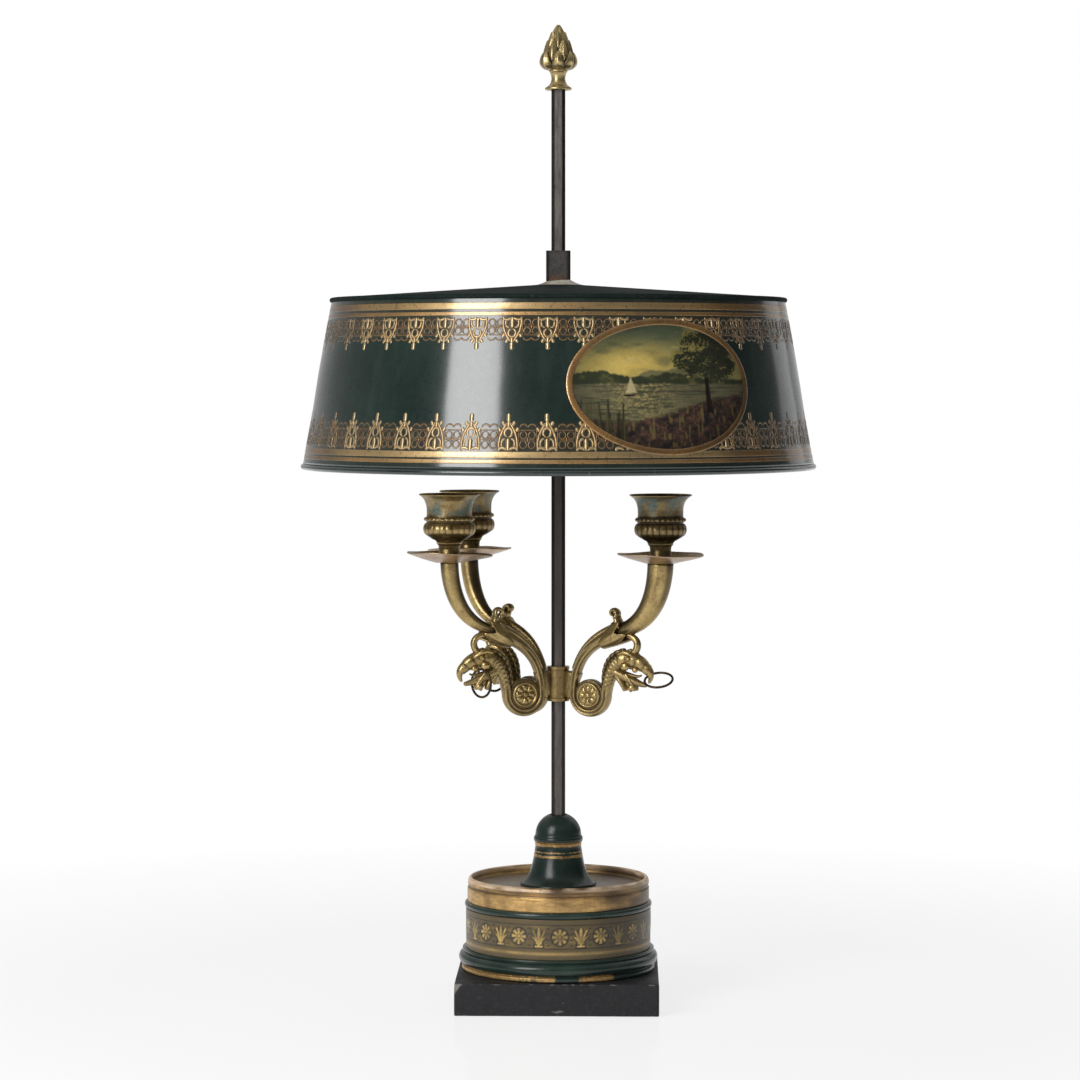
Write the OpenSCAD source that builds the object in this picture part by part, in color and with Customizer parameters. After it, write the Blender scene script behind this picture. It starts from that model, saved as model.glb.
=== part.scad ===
// Bouillotte lamp: a painted tole shade and three candle arms slide on one square iron rod.
// Millimetres. Origin at the middle of the plinth's underside, +Z up, +X right, -Y is the front.

/* [Plinth] */
// Side of the square plinth
plinth_w = 150; // [140:1:200]
// Height of the plinth
plinth_h = 23.5; // [16:0.5:40]
// Worn chamfer along the plinth's edges
plinth_chamfer = 0.8; // [0.4:0.1:3]
// Radius of the recess for nut and washer under the plinth
recess_r = 16; // [13:0.5:22]
// Depth of that recess
recess_h = 9; // [8:0.5:12]

/* [Base] */
// Height of the moulded flange that stands on the plinth
flange_h = 16.5; // [12:0.5:24]
// How far the flange swells beyond the drum
flange_out = 5.2; // [2:0.1:6]
// Height of the gilt fillet at the flange's foot
fillet_h = 3.5; // [2:0.5:6]
// Outer radius of the drum
drum_r = 69.3; // [60:0.1:71]
// Height of the drum's wall
drum_h = 29.5; // [20:0.5:50]
// Thickness of the sheet metal in the base
sheet = 1.2; // [0.8:0.1:2]
// Height of the half-round bead between drum and tray
bead_h = 5; // [3:0.5:8]
// How far the bead stands out from the drum
bead_out = 1; // [0.8:0.1:3]
// Outer radius of the tray
tray_r = 67.9; // [60:0.1:69]
// Height of the tray's wall
tray_h = 18; // [14:0.5:24]
// Depth of the tray below its rim
tray_depth = 6.5; // [5:0.5:9]
// Radius of the iron ballast inside the drum
ballast_r = 60; // [40:1:60]
// Height of the iron ballast
ballast_h = 30; // [15:1:38]

/* [Bell socket] */
// Radius of the bell's foot
bell_foot_r = 28.6; // [26:0.1:34]
// Height of the bell over the tray
bell_h = 52.6; // [46:0.1:60]
// Radius of the bell's narrow throat
bell_throat_r = 17.3; // [16:0.1:20]
// Radius of the bead over the throat
bell_bead_r = 18.5; // [18:0.1:22]
// Wall thickness of the bell
bell_wall = 1.5; // [1:0.1:2.5]

/* [Rod] */
// Width of the square rod across its flats
rod_w = 10.3; // [8:0.1:11]
// Chamfer on the rod's four edges
rod_chamfer = 2; // [0.5:0.1:2.4]
// Height of the rod's top end over the table
rod_top = 681; // [660:1:760]
// Radius of the turned and threaded foot of the rod
rod_foot_r = 4; // [3:0.1:4.5]
// Clearance between a sleeve and the rod, on each side
rod_fit = 0.06; // [0.04:0.01:0.1]
// Radius of the spigot that holds the finial
spigot_r = 2.6; // [2:0.1:3.2]
// Length of that spigot
spigot_h = 9; // [6:0.5:11]
// Clearance round a screw or spigot in its hole
hole_fit = 0.1; // [0.05:0.05:0.2]

/* [Nut and washer] */
// Radius of the washer under the plinth
washer_r = 12.5; // [9:0.5:12.5]
// Thickness of the washer
washer_h = 1.6; // [1:0.1:2.5]
// Width of the square nut across its flats
nut_w = 15; // [12:0.5:17]
// Height of the square nut
nut_h = 4.5; // [3:0.5:5]

/* [Finial] */
// Radius of the finial's foot
finial_foot_r = 10; // [8:0.1:12]
// Height of the finial's turned foot
finial_foot_h = 13; // [12:0.5:18]
// Radius of the finial's neck
finial_neck_r = 5.7; // [4.5:0.1:6.5]
// Height of the leafy bud
bud_h = 36; // [30:1:44]
// Largest radius of the bud
bud_r = 14; // [11:0.1:16]
// Leaves in one tier of the bud
bud_leaves = 7; // [5:1:9]

/* [Arm collar] */
// Height of the collar's middle over the table
collar_z = 237; // [220:1:300]
// Length of the collar
collar_h = 26; // [24:1:34]
// Radius of the collar's barrel
collar_r = 7.9; // [7.9:0.1:9]
// How far the collar's end bands stand out
collar_band = 0.5; // [0.3:0.1:1]
// Height of each end band
collar_band_h = 2.6; // [1.5:0.1:3]
// Depth of the flat that each bracket seats on
collar_flat = 0.6; // [0.3:0.1:0.9]

/* [Arm brackets] */
// Direction of the right arm, in degrees from +X towards the back
right_angle = -25; // [-35:1:20]
// Direction of the front arm
front_angle = 196.5; // [190:0.5:240]
// Direction of the rear arm
rear_angle = 145; // [125:1:155]
// Distance of the candles from the rod's axis
arm_reach = 84; // [78:1:95]
// Height of the horn's top over the collar's middle
horn_rise = 92; // [86:1:110]
// Distance of the volute's eye from the rod's axis
eye_out = 26.8; // [26:0.1:28]
// Drop of the volute's eye below the collar's middle
eye_drop = 7.5; // [6:0.1:9]
// Radius of the volute, to the middle of its strap
volute_r = 13.3; // [12.8:0.1:14]
// Half the thickness of the cast strap
strap_half = 3.1; // [2.8:0.1:3.5]
// Half the width of the cast strap
strap_wide = 5.2; // [4.6:0.1:6]
// Distance of the leaf calyx's mouth from the rod's axis
calyx_out = 55.5; // [53:0.5:58]
// Height of the calyx's mouth over the collar's middle
calyx_rise = 43.2; // [41:0.2:46]
// Radius of the calyx at its mouth
calyx_r = 7.6; // [7.4:0.1:9]
// Radius of the right horn's top end
horn_top_r = 9.7; // [8:0.1:10]
// Girth of the two left horns, as a share of the right one
left_girth = 0.7; // [0.65:0.05:1]
// Clearance of the horn in the calyx
horn_fit = 0.15; // [0.1:0.05:0.3]
// Radius of the rosettes in the volute's eye
rosette_r = 9.5; // [8:0.1:9.6]
// Thickness of one rosette at its boss
rosette_h = 3.2; // [2.5:0.1:4]
// Half the thickness of the web behind the rosettes
web_half = 3.2; // [2.5:0.1:4]

/* [Rings] */
// Outer diameter of the wire rings
ring_d = 22.6; // [21:0.1:24]
// Diameter of the ring's wire
ring_wire = 1.8; // [1.4:0.1:2]

/* [Drip pans] */
// Radius of a drip pan
pan_r = 32; // [28:0.5:36]
// Height of the pan's rim over its foot
pan_rise = 7.6; // [5:0.1:10]
// Thickness of the pan's sheet
pan_sheet = 1; // [0.8:0.1:1.5]
// Radius of the pan's flat middle
pan_flat_r = 11; // [10:0.5:14]

/* [Candle cups] */
// Radius of the cup's flared rim
cup_rim_r = 23.4; // [21:0.1:27]
// Height of the cup over its pan
cup_h = 50; // [46:0.5:60]
// Radius of the cup's neck
cup_neck_r = 16.8; // [15:0.1:19]
// Radius of the cup's gadrooned bulge
cup_bulge_r = 19.3; // [17.5:0.1:23]
// Radius of the socket for the candle
candle_r = 11; // [10:0.5:12.5]
// Depth of the straight socket below the flare
socket_depth = 18; // [14:0.5:22]
// Radius of the cup's stem
cup_stem_r = 8; // [6:0.1:9]
// Radius of the screw that holds cup and pan to the horn
cup_screw_r = 2; // [1.5:0.1:2.4]

/* [Shade] */
// Height of the shade's lower edge over the table
shade_z = 398; // [392:1:430]
// Outer radius of the lower wire bead
shade_low_r = 192.5; // [180:0.5:215]
// Outer radius of the upper wire bead
shade_top_r = 170.9; // [150:0.5:178]
// Height of the shade from bead to bead
shade_h = 127.5; // [110:0.5:150]
// Thickness of the shade's sheet
shade_sheet = 0.7; // [0.5:0.1:1.5]
// Diameter of the wire rolled into the lower edge
low_wire = 4; // [3:0.1:5]
// Diameter of the wire rolled into the upper edge
top_wire = 3.4; // [2.4:0.1:4]
// Rise of the lid from its edge to its middle
lid_rise = 10; // [6:0.5:20]
// Radius of the tinned plate under the sleeve
plate_r = 15.5; // [14:0.1:22]
// Thickness of that plate
plate_h = 1.5; // [1:0.1:3]
// Outer width of the square sleeve
sleeve_w = 18; // [15:0.1:20]
// Length of the square sleeve
sleeve_h = 24; // [20:0.5:32]

/* [Set screws] */
// Radius of a set screw's shank
set_r = 2; // [1.6:0.1:2.5]
// Radius of a set screw's thumb head
thumb_r = 4.5; // [4:0.1:5]
// Thickness of a thumb head
thumb_h = 3.2; // [2.5:0.1:5]
// Length of bare shank between sleeve and thumb head
thumb_gap = 1; // [0.6:0.1:3]
// Gap left between a set screw's tip and the rod
set_gap = 0.3; // [0.2:0.05:0.4]

/* [Hidden] */
$fn = 96;

// Heights of the base, each standing on the one before
flange_z = plinth_h;
drum_z = flange_z + flange_h;
bead_z = drum_z + drum_h;
tray_z = bead_z + bead_h;
tray_floor = tray_z + tray_h - tray_depth;

// Arm, in its own frame: x outwards from the rod's axis, y across, z from the collar's middle
ring_r = (ring_d - ring_wire) / 2;
seat_out = collar_r - collar_flat;
seat_half = collar_h / 2 - collar_band_h - 0.4;
foot_half = 3.5;
horn_foot_r = 4.6;
horn_hole_h = 12;
lid_z = shade_z + shade_h;
sleeve_z = lid_z + lid_rise + plate_h;

brass = [0.51, 0.43, 0.27];
iron = [0.33, 0.31, 0.30];
green = [0.13, 0.20, 0.18];
gilt = [0.62, 0.50, 0.30];

// ---- Shared shapes ----

// Rod section grown by extra on every face
module rod_section(extra = 0) {
    half = rod_w / 2 + extra;
    side = half - rod_chamfer;
    polygon([[half, side], [side, half], [-side, half], [-half, side],
             [-half, -side], [-side, -half], [side, -half], [half, -side]]);
}

// Point of a cubic Bezier curve with control vectors of any length
function bezier(p, t) =
    pow(1 - t, 3) * p[0] + 3 * t * pow(1 - t, 2) * p[1] + 3 * t * t * (1 - t) * p[2] + pow(t, 3) * p[3];

// Stations along a curve, the last one left to the next curve
function along(p, steps) = [for (k = [0 : steps - 1]) bezier(p, k / steps)];

// Unit direction of a path at station k
function heading(path, k) =
    let (a = path[max(k - 1, 0)], b = path[min(k + 1, len(path) - 1)], d = [b[0] - a[0], b[1] - a[1]])
    d / norm(d);

// Signed power, which squares up an ellipse as the exponent falls below 1
function bulge(x, power) = sign(x) * pow(abs(x), power);

// Closed sweep in the xz plane. A station is [x, z, half thickness, half width, ripple].
module sweep(path, sides = 12, power = 1, lobes = 6, last = undef) {
    count = len(path);
    points = [for (k = [0 : count - 1])
        let (s = path[k], d = k == count - 1 && last != undef ? last : heading(path, k))
        for (i = [0 : sides - 1])
            let (a = 360 * i / sides, grow = 1 + (s[4] == undef ? 0 : s[4]) * cos(lobes * a),
                 in_plane = s[2] * grow * bulge(cos(a), power))
            [s[0] - d[1] * in_plane, s[3] * grow * bulge(sin(a), power), s[1] + d[0] * in_plane]];
    walls = [for (k = [0 : count - 2]) for (i = [0 : sides - 1])
        let (a = k * sides + i, b = k * sides + (i + 1) % sides)
        each [[a, b, a + sides], [b, b + sides, a + sides]]];
    ends = [[for (i = [sides - 1 : -1 : 0]) i], [for (i = [0 : sides - 1]) (count - 1) * sides + i]];
    polyhedron(points, concat(walls, ends));
}

module place_arm(angle) {
    translate([0, 0, collar_z])
        rotate([0, 0, angle])
            children();
}

// Runs along the axis of a set screw at the back of a sleeve, from the rod outwards
module at_back(z) {
    translate([0, 0, z])
        rotate([-90, 0, 0])
            children();
}

// ---- Base ----

// Square block seen along one axis, with its corners cut off
module chamfered(w, h, c) {
    polygon([[-w / 2 + c, -h / 2], [w / 2 - c, -h / 2], [w / 2, -h / 2 + c], [w / 2, h / 2 - c],
             [w / 2 - c, h / 2], [-w / 2 + c, h / 2], [-w / 2, h / 2 - c], [-w / 2, -h / 2 + c]]);
}

module plinth() {
    color([0.19, 0.19, 0.2])
    difference() {
        intersection() {
            linear_extrude(plinth_h) chamfered(plinth_w, plinth_w, plinth_chamfer);
            for_axis(0);
            for_axis(90);
        }
        translate([0, 0, -1]) cylinder(h = plinth_h + 2, r = rod_foot_r + hole_fit);
        translate([0, 0, -1]) cylinder(h = recess_h + 1, r = recess_r);
    }
}

// Plinth's long prism along one level axis
module for_axis(turn) {
    translate([0, 0, plinth_h / 2])
        rotate([90, 0, turn])
            linear_extrude(plinth_w + 2, center = true)
                chamfered(plinth_w, plinth_h, plinth_chamfer);
}

module rod_washer() {
    color(iron)
    translate([0, 0, recess_h - washer_h])
        difference() {
            cylinder(h = washer_h, r = washer_r);
            translate([0, 0, -1]) cylinder(h = washer_h + 2, r = rod_foot_r + hole_fit);
        }
}

module rod_nut() {
    color(iron)
    translate([0, 0, recess_h - washer_h - nut_h])
        difference() {
            translate([-nut_w / 2, -nut_w / 2, 0]) cube([nut_w, nut_w, nut_h]);
            translate([0, 0, -1]) cylinder(h = nut_h + 2, r = rod_foot_r + hole_fit);
        }
}

module ballast() {
    color([0.2, 0.2, 0.2])
    translate([0, 0, plinth_h])
        difference() {
            cylinder(h = ballast_h, r = ballast_r);
            translate([0, 0, -1]) cylinder(h = ballast_h + 2, r = rod_foot_r + hole_fit);
        }
}

// Moulded ring: gilt fillet at the foot, then a swelling, then a ledge under the drum
module base_flange() {
    top_r = drum_r + 1;
    fillet_r = drum_r + flange_out * 0.55;
    swell = (flange_h - fillet_h) / 2;
    color(green)
    translate([0, 0, flange_z])
        rotate_extrude()
            polygon(concat(
                [[ballast_r + 1, 0], [fillet_r, 0], [fillet_r, fillet_h]],
                [for (a = [-80 : 20 : 80])
                    [drum_r + flange_out - swell / 2 + swell / 2 * cos(a), fillet_h + swell * (1 + sin(a))]],
                [[top_r, flange_h], [ballast_r + 1, flange_h]]));
}

module base_drum() {
    color(gilt)
    translate([0, 0, drum_z])
        difference() {
            cylinder(h = drum_h, r = drum_r);
            translate([0, 0, -1]) cylinder(h = drum_h + 2, r = drum_r - sheet);
        }
}

module base_bead() {
    inner_r = tray_r - 2 * sheet;
    color(green)
    translate([0, 0, bead_z])
        rotate_extrude()
            polygon(concat(
                [[inner_r, 0]],
                [for (a = [-90 : 15 : 90])
                    [drum_r - 0.6 + (bead_out + 0.6) * cos(a), bead_h / 2 * (1 + sin(a))]],
                [[inner_r, bead_h]]));
}

// Skirt and floor of the tray, with a moulding line and a thin rolled rim
module tray() {
    line_z = tray_h * 0.62;
    color(gilt)
    translate([0, 0, tray_z])
        rotate_extrude()
            polygon([[rod_foot_r + hole_fit, tray_h - tray_depth - sheet],
                     [tray_r - 2 * sheet, tray_h - tray_depth - sheet],
                     [tray_r - 2 * sheet, 0], [tray_r - 0.5, 0],
                     [tray_r + 0.2, line_z * 0.35], [tray_r + 0.2, line_z * 0.7], [tray_r - 0.4, line_z],
                     [tray_r, line_z + 0.8], [tray_r, tray_h - 0.6], [tray_r - 0.5, tray_h],
                     [tray_r - sheet, tray_h], [tray_r - 1.6 * sheet, tray_h - tray_depth],
                     [rod_foot_r + hole_fit, tray_h - tray_depth]]);
}

// Bell: spreading foot, concave throat, bead and dome, with a round hole for the rod
module bell_socket() {
    bead_at = bell_h * 0.655;
    bead_half = 2.4;
    throat_at = bell_h * 0.55;
    hole_r = norm([rod_w / 2, rod_w / 2 - rod_chamfer]) + hole_fit;
    dome_at = bead_at + bead_half;
    dome_r = bell_throat_r;
    // Foot curve: from the foot's edge in to the throat
    foot_curve = [for (t = [0 : 0.125 : 1])
        bezier([[bell_foot_r - 1.2, 2.4], [bell_foot_r - 6.5, 5.5], [bell_throat_r + 2.4, 11],
                [bell_throat_r, throat_at]], t)];
    bead_curve = [for (a = [-60 : 20 : 60])
        [bell_bead_r - 1.2 + 1.2 * cos(a), bead_at + bead_half * sin(a)]];
    dome_curve = [for (a = [0 : 7.5 : 67.5])
        [dome_r * pow(cos(a), 0.9), dome_at + (bell_h - dome_at) * sin(a) / sin(67.5)]];
    color(green)
    translate([0, 0, tray_floor])
        difference() {
            rotate_extrude()
                polygon(concat([[0, 0], [bell_foot_r, 0], [bell_foot_r, 1.4]],
                               foot_curve, bead_curve, dome_curve, [[0, bell_h]]));
            translate([0, 0, -1]) cylinder(h = bell_h + 2, r = hole_r);
            translate([0, 0, -1]) cylinder(h = dome_at + 1, r = bell_throat_r - bell_wall);
        }
}

module rod() {
    foot_z = recess_h - washer_h - nut_h - 1;
    color(iron)
    union() {
        translate([0, 0, tray_floor]) linear_extrude(rod_top - tray_floor) rod_section();
        translate([0, 0, foot_z]) cylinder(h = tray_floor - foot_z, r = rod_foot_r);
        translate([0, 0, rod_top]) cylinder(h = spigot_h, r = spigot_r);
    }
}

// ---- Finial ----

// Outlines of the three tiers of leaves, as shares of the bud's height and radius
outer_tier = [[0, 0.39], [0.1, 0.58], [0.18, 0.84], [0.27, 0.98], [0.35, 1], [0.43, 0.96], [0.5, 0.82],
              [0.515, 0]];
middle_tier = [[0, 0.3], [0.33, 0.72], [0.5, 0.76], [0.6, 0.71], [0.685, 0.59], [0.7, 0]];
inner_tier = [[0, 0.3], [0.6, 0.45], [0.75, 0.41], [0.86, 0.32], [0.95, 0.18], [1, 0.02]];
leaf_dip = 0.13;

// Radius of the bud at a share of its height: the outermost tier there, its tips pointed
function bud_radius(a, share) =
    let (side = abs(sin(a * bud_leaves / 2)), other = abs(cos(a * bud_leaves / 2)))
    bud_r * max(lookup(share + leaf_dip * side, outer_tier) * (1 - 0.05 * side),
                lookup(share + leaf_dip * other, middle_tier) * (1 - 0.05 * other),
                lookup(share, inner_tier));

module finial_bud() {
    sides = bud_leaves * 8;
    rings = 26;
    points = [for (k = [0 : rings - 1]) for (i = [0 : sides - 1])
        let (a = 360 * i / sides, share = k / (rings - 1), r = bud_radius(a, share))
        [r * cos(a), r * sin(a), share * bud_h]];
    walls = [for (k = [0 : rings - 2]) for (i = [0 : sides - 1])
        let (a = k * sides + i, b = k * sides + (i + 1) % sides)
        each [[a, a + sides, b], [b, a + sides, b + sides]]];
    ends = [[for (i = [0 : sides - 1]) i], [for (i = [sides - 1 : -1 : 0]) (rings - 1) * sides + i]];
    polyhedron(points, concat(walls, ends));
}

module finial() {
    color(gilt)
    translate([0, 0, rod_top])
        union() {
            difference() {
                rotate_extrude()
                    polygon([[0, 0], [finial_foot_r - 0.8, 0], [finial_foot_r, 0.8], [finial_foot_r, 2.4],
                             [finial_foot_r - 1, 3.2], [finial_neck_r + 1.6, 5.2], [finial_neck_r + 0.2, 7.5],
                             [finial_neck_r, finial_foot_h - 1], [finial_neck_r - 0.6, finial_foot_h],
                             [0, finial_foot_h]]);
                translate([0, 0, -1]) cylinder(h = spigot_h + 1.5, r = spigot_r + hole_fit);
            }
            translate([0, 0, finial_foot_h]) finial_bud();
        }
}

// ---- Arms ----

module arm_collar() {
    half = collar_h / 2;
    band_z = half - collar_band_h;
    color(brass)
    translate([0, 0, collar_z])
        difference() {
            rotate_extrude()
                polygon([[0, -half], [collar_r + collar_band, -half], [collar_r + collar_band, -band_z - 0.4],
                         [collar_r, -band_z], [collar_r, band_z], [collar_r + collar_band, band_z + 0.4],
                         [collar_r + collar_band, half], [0, half]]);
            translate([0, 0, -collar_h]) linear_extrude(2 * collar_h) rod_section(rod_fit);
            for (angle = [right_angle, front_angle, rear_angle])
                rotate([0, 0, angle])
                    translate([seat_out, -collar_r, -seat_half])
                        cube([collar_r, 2 * collar_r, 2 * seat_half]);
            rotate([-90, 0, 0]) cylinder(h = 2 * collar_r, r = set_r + hole_fit);
        }
}

// Control vectors of the strap's four curves, from the calyx down round the volute to the beak
strap_down = [[calyx_out, calyx_rise, calyx_r, calyx_r + 0.6, 0.07],
              [calyx_out - 25.3, calyx_rise - 12.1, 3.4, strap_wide + 1.2, 0.02],
              [eye_out - volute_r, 30.3 - eye_drop, strap_half - 0.1, strap_wide, 0],
              [eye_out - volute_r, -eye_drop, strap_half, strap_wide, 0]];
skull = [56.5, 20.2, 6.2, 6.2, 0];
neck_up = [[eye_out + volute_r, -eye_drop, strap_half + 0.3, strap_wide, 0],
           [eye_out + volute_r, 6, 6, strap_wide + 0.4, 0],
           [46, 20.5, 7.6, 7, 0],
           skull];
upper_beak = [skull, [66, 21, 4.4, 5, 0], [78, 13.5, 2.6, 2.4, 0], [74.6, 3.5, 1.6, 1.6, 0]];
beak_tip = [71.8, 1, 1.1, 1.2, 0];
lower_jaw = [[48, 12, 3, 4.6], [56, 9.5, 2.9, 4.2], [64, 3.6, 2, 3], [71.6, 0.8, 1.1, 1.4]];
beard = [[53, 8.5, 2.6, 3], [58, 3, 2.6, 3], [59.5, -1, 1.6, 2], [60.2, -3.6, 0.7, 0.9]];
ear = [[55, 22.5, 3, 4.6], [66, 22.5, 2.6, 3.4], [69.5, 35, 2.8, 3], [57.5, 36.8, 2.4, 2.8]];
leaf_tip = [[50, 44, 3.6, 6], [49.5, 50, 3, 5.4], [46.5, 51, 2.5, 4.6], [45, 55.6, 2.3, 3.4]];
leaf_end = [44.2, 57.2, 1.3, 2];
horn_path = [[calyx_out - 5.5, calyx_rise - 2, horn_foot_r, horn_foot_r],
             [calyx_out + 17.5, calyx_rise + 2, horn_top_r - 1.8, horn_top_r - 1.8],
             [arm_reach - 0.6, horn_rise - 25.5, horn_top_r - 0.35, horn_top_r - 0.35],
             [arm_reach, horn_rise, horn_top_r, horn_top_r]];

// Half turn of the strap under the volute's eye
volute_turn = [for (a = [180 : 15 : 345])
    [eye_out + volute_r * cos(a), volute_r * sin(a) - eye_drop,
     strap_half + 0.3 * (a - 180) / 180, strap_wide, 0]];

// Horn with its girth as a share of horn_path's and extra all round
module horn_shape(girth, extra = 0) {
    grown = [for (s = concat(along(horn_path, 14), [horn_path[3]]))
        [s[0], s[1], s[2] * girth + extra, s[3] * girth + extra]];
    sweep(grown, sides = 18, last = [0, 1]);
}

// Web that fills the volute's eye, a many-sided plate across the arm's plane
module eye_web() {
    translate([eye_out, 0, -eye_drop])
        rotate([90, 0, 0])
            linear_extrude(2 * web_half, center = true)
                polygon([for (k = [0 : 35]) (volute_r - strap_half / 2) * [cos(10 * k), sin(10 * k)]]);
}

module arm_bracket(girth) {
    color(brass)
    difference() {
        union() {
            sweep(concat(along(strap_down, 12), volute_turn, along(neck_up, 8), along(upper_beak, 8),
                         [upper_beak[3], beak_tip]), sides = 14, power = 0.8);
            sweep(concat(along(lower_jaw, 6), [lower_jaw[3]]), sides = 10);
            sweep(concat(along(beard, 5), [beard[3]]), sides = 8);
            sweep(concat(along(ear, 9), [ear[3]]), sides = 8);
            sweep(concat(along(leaf_tip, 5), [leaf_tip[3], leaf_end]), sides = 10);
            eye_web();
            translate([seat_out, -foot_half, 0.5 - seat_half])
                cube([eye_out - volute_r - seat_out, 2 * foot_half, 2 * seat_half - 1]);
        }
        horn_shape(girth, horn_fit);
    }
}

module arm_horn(girth) {
    color(brass)
    difference() {
        horn_shape(girth);
        translate([arm_reach, 0, horn_rise - horn_hole_h])
            cylinder(h = horn_hole_h + 1, r = cup_screw_r + 2 * hole_fit, $fn = 12);
    }
}

// One rosette on each face of the web: a dished disc with a boss and eight petals
module arm_rosettes() {
    petals = 8;
    color(gilt)
    for (side = [-1, 1])
        translate([eye_out, side * web_half, -eye_drop])
            rotate([side * -90, 0, 0])
                union() {
                    rotate_extrude()
                        polygon([[0, 0], [rosette_r, 0], [rosette_r, 1.6], [rosette_r - 0.9, 2.2],
                                 [rosette_r - 1.9, 1.3], [2.8, 1.5], [2.2, rosette_h - 0.4],
                                 [1.2, rosette_h], [0, rosette_h]]);
                    for (k = [0 : petals - 1])
                        rotate([0, 0, 360 / petals * k])
                            translate([rosette_r * 0.52, 0, rosette_h * 0.45]) sphere(r = rosette_r * 0.14, $fn = 32);
                }
}

// Ring hung in the mouth: turn is its swing about the wire, roll its lean to one side
module hung_ring(at, swing, twist) {
    translate([at[0], 0, at[1]])
        rotate(twist)
            rotate([0, swing, 0])
                translate([0, 0, -ring_r])
                    rotate([0, 90, 0])
                        rotate_extrude() translate([ring_r, 0]) circle(r = ring_wire / 2, $fn = 32);
}

module arm_ring(at, swing, twist) {
    color([0.25, 0.21, 0.16]) hung_ring(at, swing, twist);
}

module arm_drip_pan() {
    slope = 0.12;
    color(brass)
    translate([arm_reach, 0, horn_rise])
        rotate_extrude()
            polygon(concat(
                [[cup_screw_r + hole_fit, 0], [pan_flat_r, 0]],
                [for (t = [0.25 : 0.25 : 1])
                    [pan_flat_r + (pan_r - pan_flat_r) * t, (pan_rise - pan_sheet) * (t * (1 - slope) + slope * t * t)]],
                [[pan_r + 0.4, pan_rise - pan_sheet / 2]],
                [for (t = [1 : -0.25 : 0.25])
                    [pan_flat_r - 0.3 + (pan_r - pan_flat_r) * t,
                     pan_sheet + (pan_rise - pan_sheet) * (t * (1 - slope) + slope * t * t)]],
                [[pan_flat_r - 0.3, pan_sheet], [cup_screw_r + hole_fit, pan_sheet]]));
}

// Heights inside the cup, from its foot on the pan, and the pocket for the screw's head
cup_flare = 8;
cup_floor = cup_h - cup_flare - socket_depth;
head_r = cup_screw_r * 2.2;
head_h = 2.2;

module arm_candle_cup() {
    lip = 1;
    color(brass)
    translate([arm_reach, 0, horn_rise + pan_sheet])
        rotate_extrude()
            polygon(concat(
                [[cup_screw_r + hole_fit, 0], [cup_stem_r + 3.2, 0], [cup_stem_r + 2.4, 1.4],
                 [cup_stem_r + 0.4, 4.5], [cup_stem_r, 8.5], [cup_stem_r + 0.5, 13.5],
                 [cup_bulge_r - 6, 17], [cup_bulge_r - 1.5, 20]],
                [for (a = [-40 : 20 : 60]) [cup_bulge_r - 1.6 + 1.6 * cos(a), 24.5 + 3.6 * sin(a)]],
                [[cup_neck_r + 0.6, 30.5], [cup_neck_r, 33]],
                [for (t = [0 : 0.2 : 1])
                    bezier([[cup_neck_r, cup_h - 13], [cup_neck_r, cup_h - 6], [cup_neck_r + 2.5, cup_h - 3],
                            [cup_rim_r - 0.6, cup_h - lip]], t)],
                [[cup_rim_r, cup_h - lip / 2], [cup_rim_r - 0.4, cup_h]],
                [for (t = [0 : 0.25 : 0.75])
                    bezier([[cup_rim_r - 1.6, cup_h], [cup_neck_r + 0.5, cup_h - 2],
                            [candle_r + 2, cup_h - 4], [candle_r, cup_h - cup_flare]], t)],
                [[candle_r, cup_h - cup_flare], [candle_r, cup_floor], [head_r + hole_fit, cup_floor],
                 [head_r + hole_fit, cup_floor - head_h], [cup_screw_r + hole_fit, cup_floor - head_h]]));
}

// Flat-headed screws, one down through each cup and pan into its horn
module cup_screws() {
    shank_h = pan_sheet + cup_floor - head_h + horn_hole_h - 1;
    color(iron)
    for (angle = [right_angle, front_angle, rear_angle])
        place_arm(angle)
            translate([arm_reach, 0, horn_rise + pan_sheet + cup_floor - head_h])
                difference() {
                    union() {
                        cylinder(h = head_h, r = head_r);
                        translate([0, 0, -shank_h]) cylinder(h = shank_h + 1, r = cup_screw_r);
                    }
                    translate([-head_r - 1, -0.5, head_h - 1]) cube([2 * head_r + 2, 1, 2]);
                }
}

// Set screw in a sleeve whose back face lies at reach from the rod's axis
module set_screw(reach) {
    tip = rod_w / 2 + set_gap;
    color(brass)
    union() {
        translate([0, 0, tip]) cylinder(h = reach - tip + thumb_gap + 1, r = set_r);
        translate([0, 0, reach + thumb_gap]) cylinder(h = thumb_h, r = thumb_r);
        translate([-0.9, -thumb_r + 0.5, reach + thumb_gap + thumb_h - 0.5])
            cube([1.8, 2 * thumb_r - 1, 3.5]);
    }
}

// ---- Shade ----

module shade_wall() {
    low = low_wire / 2;
    top = top_wire / 2;
    low_r = shade_low_r - low;
    top_r = shade_top_r - top;
    color(green)
    translate([0, 0, shade_z])
        rotate_extrude($fn = 180)
            polygon([[low_r - shade_sheet / 2, low_wire], [low_r + shade_sheet / 2, low_wire],
                     [top_r + shade_sheet / 2, shade_h - top_wire], [top_r - shade_sheet / 2, shade_h - top_wire]]);
}

// Wire rolled into an edge: round, with a flat where the sheet runs in
module wire_bead(r, wire, z, flat_side) {
    color(green)
    translate([0, 0, z])
        rotate_extrude($fn = 180)
            translate([r, 0])
                intersection() {
                    circle(r = wire * 0.52, $fn = 32);
                    translate([-wire, flat_side > 0 ? -wire : -wire / 2]) square([2 * wire, 1.5 * wire]);
                }
}

module shade_low_bead() {
    wire_bead(shade_low_r - low_wire / 2, low_wire, shade_z + low_wire / 2, 1);
}

module shade_top_bead() {
    wire_bead(shade_top_r - top_wire / 2, top_wire, shade_z + shade_h - top_wire / 2, -1);
}

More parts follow.
